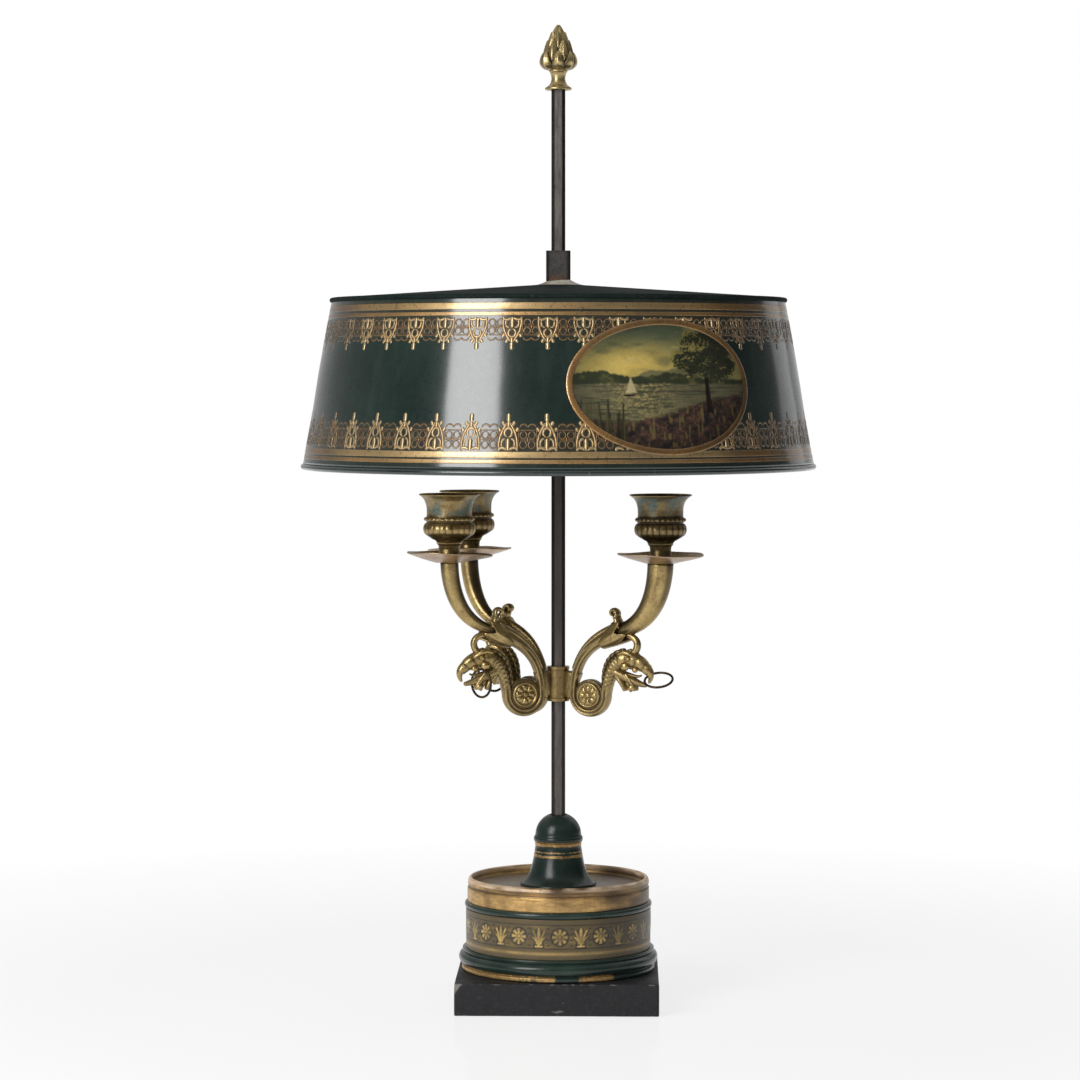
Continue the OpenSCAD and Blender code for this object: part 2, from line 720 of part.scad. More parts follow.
// Shallow cone that closes the shade's top, hung inside the upper bead
module shade_lid() {
    edge_r = shade_top_r - top_wire - 0.2;
    hole_r = norm([rod_w / 2, rod_w / 2 - rod_chamfer]) + 2 * hole_fit + 0.4;
    color(green)
    translate([0, 0, lid_z])
        rotate_extrude($fn = 180)
            polygon([[edge_r, -top_wire], [edge_r, 0], [plate_r + 1, lid_rise], [hole_r, lid_rise],
                     [hole_r, lid_rise - shade_sheet], [plate_r, lid_rise - shade_sheet],
                     [edge_r - 2 * shade_sheet, -shade_sheet], [edge_r - shade_sheet, -top_wire]]);
}

module shade_plate() {
    color([0.62, 0.6, 0.55])
    translate([0, 0, lid_z + lid_rise])
        difference() {
            cylinder(h = plate_h, r = plate_r);
            translate([0, 0, -1]) linear_extrude(plate_h + 2) rod_section(rod_fit);
        }
}

module shade_sleeve() {
    corner = 0.8;
    color(iron)
    translate([0, 0, sleeve_z])
        difference() {
            linear_extrude(sleeve_h) chamfered(sleeve_w, sleeve_w, corner);
            translate([0, 0, -1]) linear_extrude(sleeve_h + 2) rod_section(rod_fit);
            translate([0, 0, sleeve_h / 2]) rotate([-90, 0, 0]) cylinder(h = sleeve_w, r = set_r + hole_fit);
        }
}

// ---- Rings at rest: place in the mouth, swing about the wire, turn of the whole ring ----
hang_at = [59.6, 11.8];
front_at = [72, 6.4];

plinth();
rod_washer();
rod_nut();
ballast();
base_flange();
base_drum();
base_bead();
tray();
bell_socket();
rod();
finial();
arm_collar();
at_back(collar_z) set_screw(collar_r);  // collar_screw
place_arm(right_angle) arm_bracket(1);  // right_bracket
place_arm(right_angle) arm_horn(1);  // right_horn
place_arm(right_angle) arm_rosettes();  // right_rosettes
place_arm(right_angle) arm_ring(front_at, -85, [26, 0, 0]);  // right_ring
place_arm(right_angle) arm_drip_pan();  // right_drip_pan
place_arm(right_angle) arm_candle_cup();  // right_candle_cup
place_arm(front_angle) arm_bracket(left_girth);  // front_bracket
place_arm(front_angle) arm_horn(left_girth);  // front_horn
place_arm(front_angle) arm_rosettes();  // front_rosettes
place_arm(front_angle) arm_ring(hang_at, 0, [0, 0, 29]);  // front_ring
place_arm(front_angle) arm_drip_pan();  // front_drip_pan
place_arm(front_angle) arm_candle_cup();  // front_candle_cup
place_arm(rear_angle) arm_bracket(left_girth);  // rear_bracket
place_arm(rear_angle) arm_horn(left_girth);  // rear_horn
place_arm(rear_angle) arm_rosettes();  // rear_rosettes
place_arm(rear_angle) arm_ring(hang_at, 0, [0, 0, -15]);  // rear_ring
place_arm(rear_angle) arm_drip_pan();  // rear_drip_pan
place_arm(rear_angle) arm_candle_cup();  // rear_candle_cup
cup_screws();
shade_wall();
shade_lid();
shade_low_bead();
shade_top_bead();
shade_plate();
shade_sleeve();
at_back(sleeve_z + sleeve_h / 2) set_screw(sleeve_w / 2);  // shade_screw
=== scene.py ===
"""Bouillotte lamp: a heavy round base on a square plinth, an iron rod with a leafy finial, three cast brass
candle arms on one sliding collar, and a sliding shade of painted sheet iron."""

import math

import bpy
import numpy as np
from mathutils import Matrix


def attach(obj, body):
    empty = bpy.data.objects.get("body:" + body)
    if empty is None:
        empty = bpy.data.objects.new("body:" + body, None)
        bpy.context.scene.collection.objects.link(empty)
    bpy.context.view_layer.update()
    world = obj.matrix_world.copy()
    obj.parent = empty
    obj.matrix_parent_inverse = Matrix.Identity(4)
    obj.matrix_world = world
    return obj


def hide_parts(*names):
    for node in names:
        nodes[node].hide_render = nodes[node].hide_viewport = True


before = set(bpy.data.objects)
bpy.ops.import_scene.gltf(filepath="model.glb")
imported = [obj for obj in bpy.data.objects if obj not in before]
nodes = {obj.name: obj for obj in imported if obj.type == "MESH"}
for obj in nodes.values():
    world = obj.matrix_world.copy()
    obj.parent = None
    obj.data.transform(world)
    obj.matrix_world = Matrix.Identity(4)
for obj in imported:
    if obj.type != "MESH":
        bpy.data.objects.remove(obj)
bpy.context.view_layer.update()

# ---- Camera ----
# A long lens a little over two and a half metres in front of the lamp, at the height of the shade, turned
# a degree down. A small shift frames the lamp without more tilt, so that upright lines stay upright.
camera_far, camera_high = 2.621, 0.470
camera_turn, camera_aim, camera_down = 1.0, 0.3, 1.15
camera = bpy.data.objects.new("camera", bpy.data.cameras.new("camera"))
camera.data.lens, camera.data.sensor_width, camera.data.shift_y = 116.67, 36, -0.09
camera.location = (camera_far * math.sin(math.radians(camera_turn)),
                   -camera_far * math.cos(math.radians(camera_turn)), camera_high)
camera.rotation_euler = (math.radians(90 - camera_down), 0, math.radians(camera_turn + camera_aim))
bpy.context.scene.collection.objects.link(camera)
bpy.context.scene.camera = camera
bpy.context.scene.view_settings.view_transform = "Standard"

# ---- Studio: world, floor and lamps ----
# A white room. The half behind the lamp is bright, the sides and the half behind the camera are dim, and two
# soft boxes stand in it: a tall one to the left of the camera and a weak one behind the lamp on the right.


def node(tree, kind, inputs=(), **settings):
    """A shader node with its settings; each input is a number, a colour or the output it is joined to."""
    made = tree.nodes.new("ShaderNode" + kind)
    for key, value in settings.items():
        setattr(made, key, value)
    for key, value in dict(inputs).items():
        if isinstance(value, bpy.types.NodeSocket):
            tree.links.new(value, made.inputs[key])
        else:
            made.inputs[key].default_value = value
    return made


def ranged(tree, value, low, high, to_low=0.0, to_high=1.0):
    """value taken evenly from low..high to to_low..to_high and held there."""
    return node(tree, "MapRange", {0: value, 1: low, 2: high, 3: to_low, 4: to_high}).outputs[0]


def sums(tree, first, second, operation="MULTIPLY"):
    """Product of two numbers, or another operation on them."""
    return node(tree, "Math", {0: first, 1: second}, operation=operation).outputs[0]


def seen(tree):
    """The kinds of ray that a shader meets, and 1 for the rays of gloss and of glass, 0 for others."""
    path = node(tree, "LightPath")
    return path, sums(tree, path.outputs["Is Glossy Ray"], path.outputs["Is Transmission Ray"], "MAXIMUM")


world = bpy.data.worlds.new("studio")
world.use_nodes = True
room = world.node_tree
room.nodes.clear()
path, gloss = seen(room)
direction = node(room, "SeparateXYZ", {0: node(room, "TexCoord").outputs["Generated"]})
behind = ranged(room, direction.outputs["Y"], -0.2, 1.0, 0.04, 0.6)
above = ranged(room, direction.outputs["Z"], 0.35, 1.0, 0.0, 0.5)
right = ranged(room, direction.outputs["X"], 0.2, 0.8, 1.0, 0.18)
left = ranged(room, direction.outputs["X"], -0.7, 0.0, 0.6, 1.0)
glossy_room = sums(room, sums(room, sums(room, behind, right), left), above, "ADD")
level = node(room, "Mix", {0: gloss, 2: 0.42, 3: glossy_room})
level = node(room, "Mix", {0: path.outputs["Is Camera Ray"], 2: level.outputs[0], 3: 1.0})
sky = node(room, "Background", {"Color": (1, 1, 1, 1), "Strength": level.outputs[0]})
room.links.new(sky.outputs[0], node(room, "OutputWorld").inputs["Surface"])
bpy.context.scene.world = world

floor_half, floor_z = 4, -0.0004
floor_mesh = bpy.data.meshes.new("floor")
floor_mesh.from_pydata([(x * floor_half, y * floor_half, floor_z)
                        for x, y in ((-1, -1), (1, -1), (1, 1), (-1, 1))], [], [(0, 1, 2, 3)])
floor = bpy.data.objects.new("floor", floor_mesh)
bpy.context.scene.collection.objects.link(floor)
floor_paint = bpy.data.materials.new("floor")
floor_paint.use_nodes = True
tree = floor_paint.node_tree
tree.nodes.clear()
path, gloss = seen(tree)
shown = sums(tree, path.outputs["Is Camera Ray"], gloss, "MAXIMUM")
matt = node(tree, "BsdfDiffuse", {"Color": (0.8, 0.8, 0.8, 1)})
shadowed = node(tree, "BsdfDiffuse", {"Color": (0.2, 0.2, 0.2, 1)})
white = node(tree, "Emission", {"Color": (1, 1, 1, 1), "Strength": 0.8})
bright = node(tree, "AddShader", {0: shadowed.outputs[0], 1: white.outputs[0]})
polish = node(tree, "BsdfGlossy", {"Color": (1, 1, 1, 1), "Roughness": 0.12})
near = node(tree, "MixShader", {0: 0.05, 1: bright.outputs[0], 2: polish.outputs[0]})
reach = node(tree, "VectorMath", {0: node(tree, "TexCoord").outputs["Object"]}, operation="LENGTH")
edge = node(tree, "MixShader", {0: ranged(tree, reach.outputs["Value"], 0.35, 0.9), 1: near.outputs[0],
                                2: node(tree, "Emission", {"Strength": 1.0}).outputs[0]})
cover = node(tree, "MixShader", {0: shown, 1: matt.outputs[0], 2: edge.outputs[0]})
tree.links.new(cover.outputs[0], node(tree, "OutputMaterial").inputs["Surface"])
floor_mesh.materials.append(floor_paint)

lamp_aim = 0.42


def soft_box(name, angle, far, high, width, height, watts):
    """A rectangular light that stands angle degrees round from the front, towards the right, and faces the
    rod at the height lamp_aim."""
    lamp = bpy.data.objects.new(name, bpy.data.lights.new(name, "AREA"))
    lamp.data.shape, lamp.data.size, lamp.data.size_y, lamp.data.energy = "RECTANGLE", width, height, watts
    turn = math.radians(angle)
    lamp.location = (far * math.sin(turn), -far * math.cos(turn), high)
    lamp.rotation_euler = (math.pi / 2 - math.atan2(high - lamp_aim, far), 0, turn)
    lamp.visible_camera = False
    bpy.context.scene.collection.objects.link(lamp)


soft_box("key_lamp", -38, 1.6, 0.95, 0.72, 1.0, 19)
soft_box("rim_lamp", 133, 1.7, 0.9, 0.6, 1.2, 1.2)

# ---- Plinth ----
# A square block of wood under thick black paint, hollowed below for the nut that holds the rod. The paint is
# rubbed grey along the edges, and one front corner is chipped.


def skin(points, loop):
    """Faces over grids of points (grid, row, column, xyz). Columns close on themselves, and so do rows where
    loop is true; otherwise flat caps end them. The sign of the volume inside turns each grid's faces out."""
    grids, rows, columns = points.shape[:3]
    number = np.arange(grids * rows * columns).reshape(grids, rows, columns)
    low, high = (number, np.roll(number, -1, 1)) if loop else (number[:, :-1], number[:, 1:])
    quads = np.stack([low, np.roll(low, -1, 2), np.roll(high, -1, 2), high], -1)
    middle = points.reshape(grids, -1, 3).mean(1)[:, None, None, None]
    a, b, c, d = np.moveaxis(points.reshape(-1, 3)[quads] - middle, -2, 0)
    inside_out = ((np.cross(a, b) * c).sum(-1) + (np.cross(a, c) * d).sum(-1)).sum((1, 2)) < 0
    quads[inside_out] = quads[inside_out][..., ::-1]
    caps = np.stack([number[:, 0, ::-1], number[:, -1]], 1)
    caps[inside_out] = caps[inside_out][..., ::-1]
    return quads.reshape(-1, 4).tolist() + ([] if loop else caps.reshape(-1, columns).tolist())


def piece(name, grids, material, body, stands_for, marks):
    """Builds one smooth object over grids of points in millimetres, each with its loop flag, in the place of
    a CAD node. marks are named numbers or colours at the points, grid by grid, for its material."""
    faces, start = [], 0
    for points, loop in grids:
        faces += [[start + corner for corner in face] for face in skin(points, loop)]
        start += points[..., 0].size
    mesh = bpy.data.meshes.new(name)
    mesh.from_pydata(np.concatenate([points.reshape(-1, 3) for points, _ in grids]) / 1000, [], faces)
    for key, values in marks.items():
        values = np.concatenate([np.asarray(part, dtype=float).ravel() for part in values])
        kind, field = ("FLOAT", "value") if values.size == start else ("FLOAT_COLOR", "color")
        mesh.attributes.new(key, kind, "POINT").data.foreach_set(field, values)
    mesh.materials.append(material)
    mesh.shade_smooth()
    made = bpy.data.objects.new(name, mesh)
    bpy.context.scene.collection.objects.link(made)
    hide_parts(*stands_for)
    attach(made, body)


def eased(corners, ease, closed=True):
    """A line through corners with each corner rounded: a parabola between the points ease before and after
    it, or nearer where a side is short. An open line keeps its two ends."""
    corners = np.asarray(corners, dtype=float)
    before, after = np.roll(corners, 1, 0) - corners, np.roll(corners, -1, 0) - corners
    cut = np.minimum(ease, 0.45 * np.minimum(np.linalg.norm(before, axis=1), np.linalg.norm(after, axis=1)))
    if not closed:
        cut[[0, -1]] = 0
    before, after = (side * (cut / np.linalg.norm(side, axis=1))[:, None] for side in (before, after))
    t = np.linspace(0, 1, 5)[:, None, None]
    bend = corners + before * (1 - t) ** 2 + after * t ** 2
    bend = bend.transpose(1, 0, 2)
    if closed:
        return bend.reshape(-1, 2)
    return np.concatenate([corners[:1], bend[1:-1].reshape(-1, 2), corners[-1:]])


def stepped(line, step, closed=True):
    """The same line with points added so that none lies more than step from the next."""
    if closed:
        line = np.concatenate([line, line[:1]])
    way = np.concatenate([[0], np.cumsum(np.linalg.norm(np.diff(line, axis=0), axis=1))])
    kept, at = np.unique(way, return_index=True)
    stops = np.unique(np.concatenate([kept, np.arange(0, way[-1], step)]).round(6))
    made = np.stack([np.interp(stops, kept, line[at, 0]), np.interp(stops, kept, line[at, 1])], -1)
    return made[:-1] if closed else made


def mottle(x, y, seed, wrap=64):
    """Soft noise from -1 to 1: random heights on a unit lattice that repeats after wrap cells in x, joined
    by the curve 3t^2 - 2t^3."""
    heights = np.random.default_rng(seed).uniform(-1, 1, (wrap, 256))
    x, y = np.broadcast_arrays(x, y)
    column, row = np.floor(x).astype(int), np.floor(y).astype(int)
    u, v = (t * t * (3 - 2 * t) for t in (x - column, y - row))

    def at(i, j):
        return heights[(column + i) % wrap, (row + j) % 256]
    return (at(0, 0) * (1 - u) + at(1, 0) * u) * (1 - v) + (at(0, 1) * (1 - u) + at(1, 1) * u) * v


def smooth(value, low, high):
    """0 below low and 1 above high, with the curve 3t^2 - 2t^3 between."""
    t = np.clip((value - low) / (high - low), 0, 1)
    return t * t * (3 - 2 * t)


def within(value, low, full, fade, high):
    """1 from full to fade and 0 outside low and high, with the curve of smooth between."""
    return smooth(value, low, full) * (1 - smooth(value, fade, high))


def shade_of(red, green, blue):
    """Linear colour for a shader from the red, green and blue of a screen, 0 to 255."""
    tone = np.array([red, green, blue]) / 255
    return (*np.where(tone <= 0.04045, tone / 12.92, ((tone + 0.055) / 1.055) ** 2.4).tolist(), 1)


def finish(name, **sockets):
    """A new material: itself, its tree and its Principled shader, with plain values on the shader."""
    made = bpy.data.materials.new(name)
    made.use_nodes = True
    shader = made.node_tree.nodes["Principled BSDF"]
    for key, value in sockets.items():
        shader.inputs[key.replace("_", " ")].default_value = value
    return made, made.node_tree, shader


def grain(tree, scale, detail=4, roughness=0.55, squeeze=(1, 1, 1)):
    """Noise of about scale lumps to the metre on the piece's own coordinates, squeezed along an axis."""
    place = node(tree, "Mapping", {"Vector": node(tree, "TexCoord").outputs["Object"], "Scale": squeeze})
    return node(tree, "TexNoise", {"Vector": place.outputs[0], "Scale": scale, "Detail": detail,
                                   "Roughness": roughness}).outputs["Fac"]


def mixed(tree, share, first, second):
    """Colour between first and second by share. A colour is an output, or red, green and blue of a screen."""
    first, second = (shade_of(*part) if isinstance(part, tuple) else part for part in (first, second))
    return node(tree, "Mix", {0: share, 6: first, 7: second}, data_type="RGBA").outputs[2]


def coats(tree, ground, *layers):
    """A colour under further coats. A coat is (colour, value, low, high, most): its share rises evenly from 0
    to most while value goes from low to high. Left out, these are 0, 1 and 1."""
    for over, value, *limits in layers:
        low, high, most = limits + [0, 1, 1][len(limits):]
        ground = mixed(tree, ranged(tree, value, low, high, 0, most), ground, over)
    return ground


def mark(tree, name, output="Fac"):
    """A named value that the piece carries at its points."""
    return node(tree, "Attribute", attribute_name=name).outputs[output]


def join(tree, shader, height, depth, strength=1.0, **sockets):
    """Joins outputs to the shader's sockets, and a height to its normal as a bump of depth metres."""
    for key, value in sockets.items():
        tree.links.new(value, shader.inputs[key.replace("_", " ")])
    bump = node(tree, "Bump", {"Height": height, "Distance": depth, "Strength": strength})
    tree.links.new(bump.outputs[0], shader.inputs["Normal"])


def dress(material, *names):
    """Gives a material to CAD nodes that keep their solids."""
    for name in names:
        nodes[name].data.materials.clear()
        nodes[name].data.materials.append(material)


def full_turn(sides):
    """Angles of so many even steps round a full turn."""
    return np.linspace(0, 2 * np.pi, sides, endpoint=False)


def round_rod(radius, angle, height):
    """Points round the rod from their radius, angle and height, which broadcast to one shape."""
    return np.stack(np.broadcast_arrays(radius * np.cos(angle), radius * np.sin(angle), height), -1)


def reach_of(points):
    """Distance of points from the axis of the rod."""
    return np.hypot(points[..., 0], points[..., 1])


plinth_w, plinth_h, recess_r, recess_h, rod_foot_r = 150, 23.5, 16, 9, 4.2
black_paint, tree, shader = finish("black_paint", Specular_IOR_Level=0.35)
lumps = grain(tree, 60)
specks = ranged(tree, grain(tree, 420, 3, 0.6), 0.56, 0.68)
rubbed = ranged(tree, sums(tree, mark(tree, "rubbed"), grain(tree, 260, 5, 0.65), "ADD"), 0.92, 1.18)
colour = coats(tree, (28, 28, 31), ((40, 40, 43), lumps, 0.3, 0.7), ((90, 88, 86), specks, 0, 1, 0.16),
               ((132, 128, 122), rubbed))
join(tree, shader, height=sums(tree, grain(tree, 900, 4, 0.6), sums(tree, rubbed, -0.8), "ADD"), depth=0.0004,
     Base_Color=colour, Roughness=ranged(tree, lumps, 0.3, 0.7, 0.42, 0.66))

half = plinth_w / 2
outline = stepped(eased([[half, -half], [half, half], [-half, half], [-half, -half]], 1.6), 0.8)
turn = np.arctan2(outline[:, 1], outline[:, 0])
# Rows down the outside by their share of the square and their height, then up the recess and the rod's hole
side = stepped(np.array([[half, plinth_h - 0.4], [half, 0.4]]), 0.8, closed=False)[:, 1]
square = np.concatenate([[0.6, 0.9, 0.985, 0.9955, 0.999], np.ones(len(side)), [0.999, 0.9955, 0.985, 0.6]])
height = np.concatenate([[plinth_h] * 3, [plinth_h - 0.03, plinth_h - 0.12], side, [0.12, 0.03, 0, 0]])
round_r = np.array([recess_r, recess_r, rod_foot_r, rod_foot_r])
round_z = np.array([0, recess_h, recess_h, plinth_h])
block = np.concatenate([round_rod(square[:, None] * np.hypot(*outline.T), turn, height[:, None]),
                        round_rod(round_r[:, None], turn, round_z[:, None])])
x, y, z = np.moveaxis(block, -1, 0)
along = np.cumsum(np.r_[0, np.linalg.norm(np.diff(outline, axis=0), axis=1)])
wear = mottle(along / 9, 0, 3) * 0.5 + mottle(along / 3.1, 0, 4) * 0.5
inset = half * (1 - np.concatenate([square, [0, 0, 0, 0]]))[:, None]
edge_far = np.minimum(plinth_h - z, z) + inset
corner_far = half - np.minimum(abs(x), abs(y))
near_edge = np.exp(-np.minimum(edge_far, corner_far) / 1.1)
chip = np.exp(-((x + half) ** 2 + (y + half) ** 2 + (z - plinth_h + 1.5) ** 2) / 16)
bruise = np.exp(-((x - 2) ** 2 / 60 + (z - 3.5) ** 2 / 2)) \
    + 0.8 * np.exp(-((x - 4) ** 2 / 14 + (z - 10) ** 2 / 1.5))
bruise = bruise * (y < -half + 1)
back = near_edge * (0.35 + 0.35 * np.maximum(wear, 0)) + 1.5 * chip
length = np.maximum(reach_of(block), 1)
block = block - np.stack([x / length * back, y / length * back, (z > plinth_h / 2) * back * 0.6], -1)
piece("plinth_block", [(block[None], True)], black_paint, "base", ["plinth"],
      {"rubbed": [near_edge * (0.42 + 0.4 * wear) + 0.8 * chip + 0.62 * bruise]})

# Iron and steel that keep their solids: the ballast, the washer and the nut that clamp the stack to the rod,
# and the screws of the cups
forged_iron, tree, shader = finish("forged_iron", Metallic=0.75)
pits = grain(tree, 700, 5, 0.65, (1, 1, 0.35))
stain = grain(tree, 70, 4, 0.6, (1, 1, 0.3))
rust = ranged(tree, grain(tree, 160, 5, 0.7), 0.5, 0.64, 0, 0.5)
colour = coats(tree, (70, 66, 65), ((112, 105, 98), stain, 0.35, 0.68), ((46, 40, 36), pits, 0.6, 0.72),
               ((96, 72, 54), rust))
join(tree, shader, height=pits, depth=0.0003, strength=0.7, Base_Color=colour,
     Roughness=ranged(tree, stain, 0.3, 0.7, 0.38, 0.62))
dress(forged_iron, "ballast", "rod_washer", "rod_nut", "cup_screws")

# ---- Flange, drum, bead and tray ----
# The round base is spun sheet iron: a moulded flange, a drum, a half-round bead and a tray with a low wall.
# It is lacquered bottle green, and gilt on the fillet, the drum and the tray, where the gold is rubbed.


def turned(profile, sides, dents=None):
    """Grid of a profile (radius, height) turned round the rod. dents are added to the radius."""
    angle = full_turn(sides)
    radius = profile[:, :1] + (0 if dents is None else dents(angle, profile[:, :1], profile[:, 1:]))
    return round_rod(radius, angle, profile[:, 1:])[None]


def to_right(points):
    """Angle of points round the rod in degrees, from the front towards the right."""
    return np.degrees(np.arctan2(points[..., 0], -points[..., 1]))


def lacquer(name, ground, light, rough=0.24, shine=0.35):
    """Green lacquer with gold where the piece's gilt mark is 1. Gold thins and breaks by a fine noise, and
    the lacquer under it shows; both carry faint brush lines and specks."""
    made, tree, shader = finish(name, Coat_Weight=0.4 * shine, Coat_Roughness=rough * 0.7,
                                Specular_IOR_Level=shine)
    soft, fine = grain(tree, 45, 3), grain(tree, 520, 5, 0.7)
    wear_and_shade = sums(tree, mark(tree, "gilt"), ranged(tree, fine, 0.35, 0.75, 0, 0.5), "SUBTRACT")
    wear_and_shade = sums(tree, wear_and_shade, ranged(tree, soft, 0.35, 0.7, 0, 0.25), "SUBTRACT")
    gold = ranged(tree, wear_and_shade, 0.12, 0.4)
    green = coats(tree, ground, (light, soft, 0.3, 0.7),
                  ((120, 112, 96), grain(tree, 900, 3), 0.66, 0.74, 0.4))
    metal = coats(tree, (214, 178, 118), ((156, 120, 70), fine, 0.35, 0.68),
                  ((116, 88, 56), soft, 0.45, 0.75))
    join(tree, shader, height=sums(tree, fine, gold, "ADD"), depth=0.00012, strength=0.6,
         Base_Color=mixed(tree, gold, green, metal), Metallic=sums(tree, gold, 0.55),
         Roughness=ranged(tree, gold, 0, 1, rough, 0.42))
    return made


green_tole = lacquer("green_tole", (30, 44, 40), (48, 64, 56))
bell_tole = lacquer("bell_tole", (24, 36, 33), (38, 52, 47), 0.26, 0.28)

flange_z, drum_z, bead_z, tray_z, tray_floor, rim_z = 23.5, 40, 69.5, 74.5, 86, 92.5
drum_r, tray_r, swell_r, fillet_r, flange_hole_r, bead_hole_r = 69.3, 67.9, 74.5, 72.1, 61, 65.6


def dents(size, seed, step=20):
    """Shallow dents of the sheet, size millimetres deep, nine to the turn and one every step millimetres up."""
    return lambda angle, radius, height: size * mottle(angle * 9 / (2 * np.pi), height / step, seed, 9)


def bow(x, y, reach_x, reach_y, start, stop, points=17):
    """Line along an ellipse about (x, y), from start to stop degrees."""
    turn = np.radians(np.linspace(start, stop, points))
    return np.stack([x + reach_x * np.cos(turn), y + reach_y * np.sin(turn)], -1)


flange = np.concatenate([
    eased([[flange_hole_r, flange_z + 0.1], [fillet_r - 1.2, flange_z + 0.1], [fillet_r, 24.4],
           [fillet_r, 26.7], [fillet_r - 1.4, 27.3]], 0.5, False),
    bow(swell_r - 5.4, 32.6, 5.4, 4.9, -80, 75, 14),
    eased([[swell_r - 4.3, 37.7], [swell_r - 2.7, 38.2], [swell_r - 2.9, 39.6], [drum_r + 0.9, drum_z],
           [flange_hole_r, drum_z]], 0.4, False)])
grid = turned(stepped(flange, 1.6), 288, dents(0.22, 11))
around, up = to_right(grid), grid[..., 2]
fillet = within(up, 23.7, 24.2, 27.8, 28.4) * (reach_of(grid) > 70)
# The fillet's gilt is broken near the front where it is worn, and thinned over the right side as painted shade.
gilt_gaps_and_shade = smooth(abs(around - 5) + 2.5 * mottle(around / 2.5, up / 1.5, 8, 144), 3, 11) \
    * (1 - 0.5 * smooth(mottle(around / 14, 0, 6, 26), 0.1, 0.6)) * (1 - 0.75 * within(around, 30, 42, 90, 120))
lip = 0.55 * np.exp(-((up - 39.2) / 0.5) ** 2) * smooth(mottle(around / 20, 0, 7, 18), 0, 0.8)
piece("flange_moulding", [(grid, True)], green_tole, "base", ["base_flange"],
      {"gilt": [1.25 * fillet * gilt_gaps_and_shade + lip]})

bead = np.concatenate([bow(drum_r - 1.4, bead_z + 2.5, 2.3, 2.5, -90, 90, 15),
                       [[bead_hole_r, bead_z + 5], [bead_hole_r, bead_z]]])
grid = turned(stepped(bead, 1.5), 288, dents(0.15, 12))
piece("bead_moulding", [(grid, True)], green_tole, "base", ["base_bead"],
      {"gilt": [0.42 * smooth(mottle(to_right(grid) / 10, grid[..., 2] / 2, 9, 36), 0.55, 0.95)]})


def dist_box(x, y, wide, high):
    """Distance outside a box of half sizes wide and high, negative inside."""
    return np.maximum(abs(x) - wide, abs(y) - high)


def frieze(x, y, pitch):
    """Frieze of the drum at x along and y up, both from the middle: the gold of its forms and their dark
    ground, each 0 to 1. Each pitch holds a rosette of eight petals and, half a pitch on, a palmette of five
    leaves; steps of bars join the two, and a rail runs above and below. Each form is a distance in
    millimetres, cut at its edge by a soft step."""
    cell = (x + pitch / 2) % pitch - pitch / 2
    far, turn = np.hypot(cell, y), np.arctan2(y, cell)
    petals = np.maximum(abs(far - 3.7) - 2, far * abs(np.sin(4 * turn)) / 4 - 0.62 * far / 3.7 - 0.1)
    rosette = np.minimum(petals, far - 1.1)
    leaf = abs(x % pitch - pitch / 2)
    rise = y + 6.6
    fan = np.minimum(leaf - 1.1 + 0.012 * (rise - 7) ** 2 + 3 * ((rise > 13) | (rise < 0)),
                     abs(leaf - 1.2 - 0.026 * rise ** 2) - 0.75 + 3 * ((rise > 11.4) | (rise < 1)))
    fan = np.minimum(fan, abs(leaf - 1 - 0.085 * rise ** 2) - 0.7 + 3 * ((rise > 7) | (rise < 1)))
    fan = np.minimum(fan, dist_box(leaf, y + 6.9, 3, 0.6))
    bars = [dist_box(abs(cell) - 8.6, y - high, 1.2, 0.45) for high in (-6.2, -2.1, 2.1, 6.2)]
    form = np.minimum(rosette, fan)
    edge = np.minimum.reduce([form - 1.2, abs(far - 6.3) - 0.7, *bars, abs(y - 8.6) - 0.4, abs(y + 8.6) - 0.35])
    return 1 - smooth(form, -0.3, 0.3), 1 - smooth(edge, -0.3, 0.4)


def painted(colour, *layers):
    """An array of colours under further coats, each (share, red, green, blue), thin where share is small."""
    for share, *tone in layers:
        colour = colour + np.clip(share, 0, 1)[..., None] * (np.array(shade_of(*tone)) - colour)
    return colour


drum_paint, tree, shader = finish("drum_paint", Coat_Weight=0.15, Coat_Roughness=0.2)
soft, fine = grain(tree, 60, 3), grain(tree, 600, 5, 0.7)
tint = mark(tree, "tint", "Color")
colour = coats(tree, tint, ((92, 76, 56), fine, 0.42, 0.72, 0.4), ((84, 72, 58), soft, 0.5, 0.72, 0.3))
gold = mark(tree, "gilt")
join(tree, shader, height=sums(tree, fine, gold, "ADD"), depth=0.00015, strength=0.6, Base_Color=colour,
     Metallic=sums(tree, gold, 0.5), Roughness=ranged(tree, fine, 0.3, 0.7, 0.36, 0.52))

frieze_z, frieze_cells = 57, 14
wall = eased([[drum_r - 1.2, drum_z], [drum_r, drum_z], [drum_r, bead_z], [drum_r - 1.2, bead_z]], 0.3)
grid = turned(stepped(wall, 0.55), 740, dents(0.18, 13, 12))
around, up = to_right(grid), grid[..., 2]
forms, dark = frieze(np.radians(around) * drum_r - 2.4, up - frieze_z, 2 * np.pi * drum_r / frieze_cells)
wear_and_shade = 0.5 + 0.5 * mottle(around / 3.6, up / 2.2, 21, 100)
gleam = 0.5 + 0.5 * mottle(around / 9, up / 5, 22, 40)
foot_line = np.exp(-((up - 44.6) / 1.1) ** 2)
leafed = forms * (0.55 + 0.45 * smooth(gleam, 0.3, 0.7)) * (0.65 + 0.35 * smooth(wear_and_shade, 0.2, 0.5))
shaded = 1 - 0.46 * within(around, 14, 42, 120, 170)
tint = painted(np.zeros(up.shape + (4,)) + shade_of(103, 89, 61),
               (smooth(gleam, 0.45, 0.95) * (abs(up - frieze_z) < 9), 140, 118, 72),
               (foot_line * (0.35 + 0.65 * gleam), 206, 172, 108),
               (dark * (0.8 + 0.2 * smooth(wear_and_shade, 0.15, 0.6)), 32, 30, 23), (leafed, 224, 190, 114))
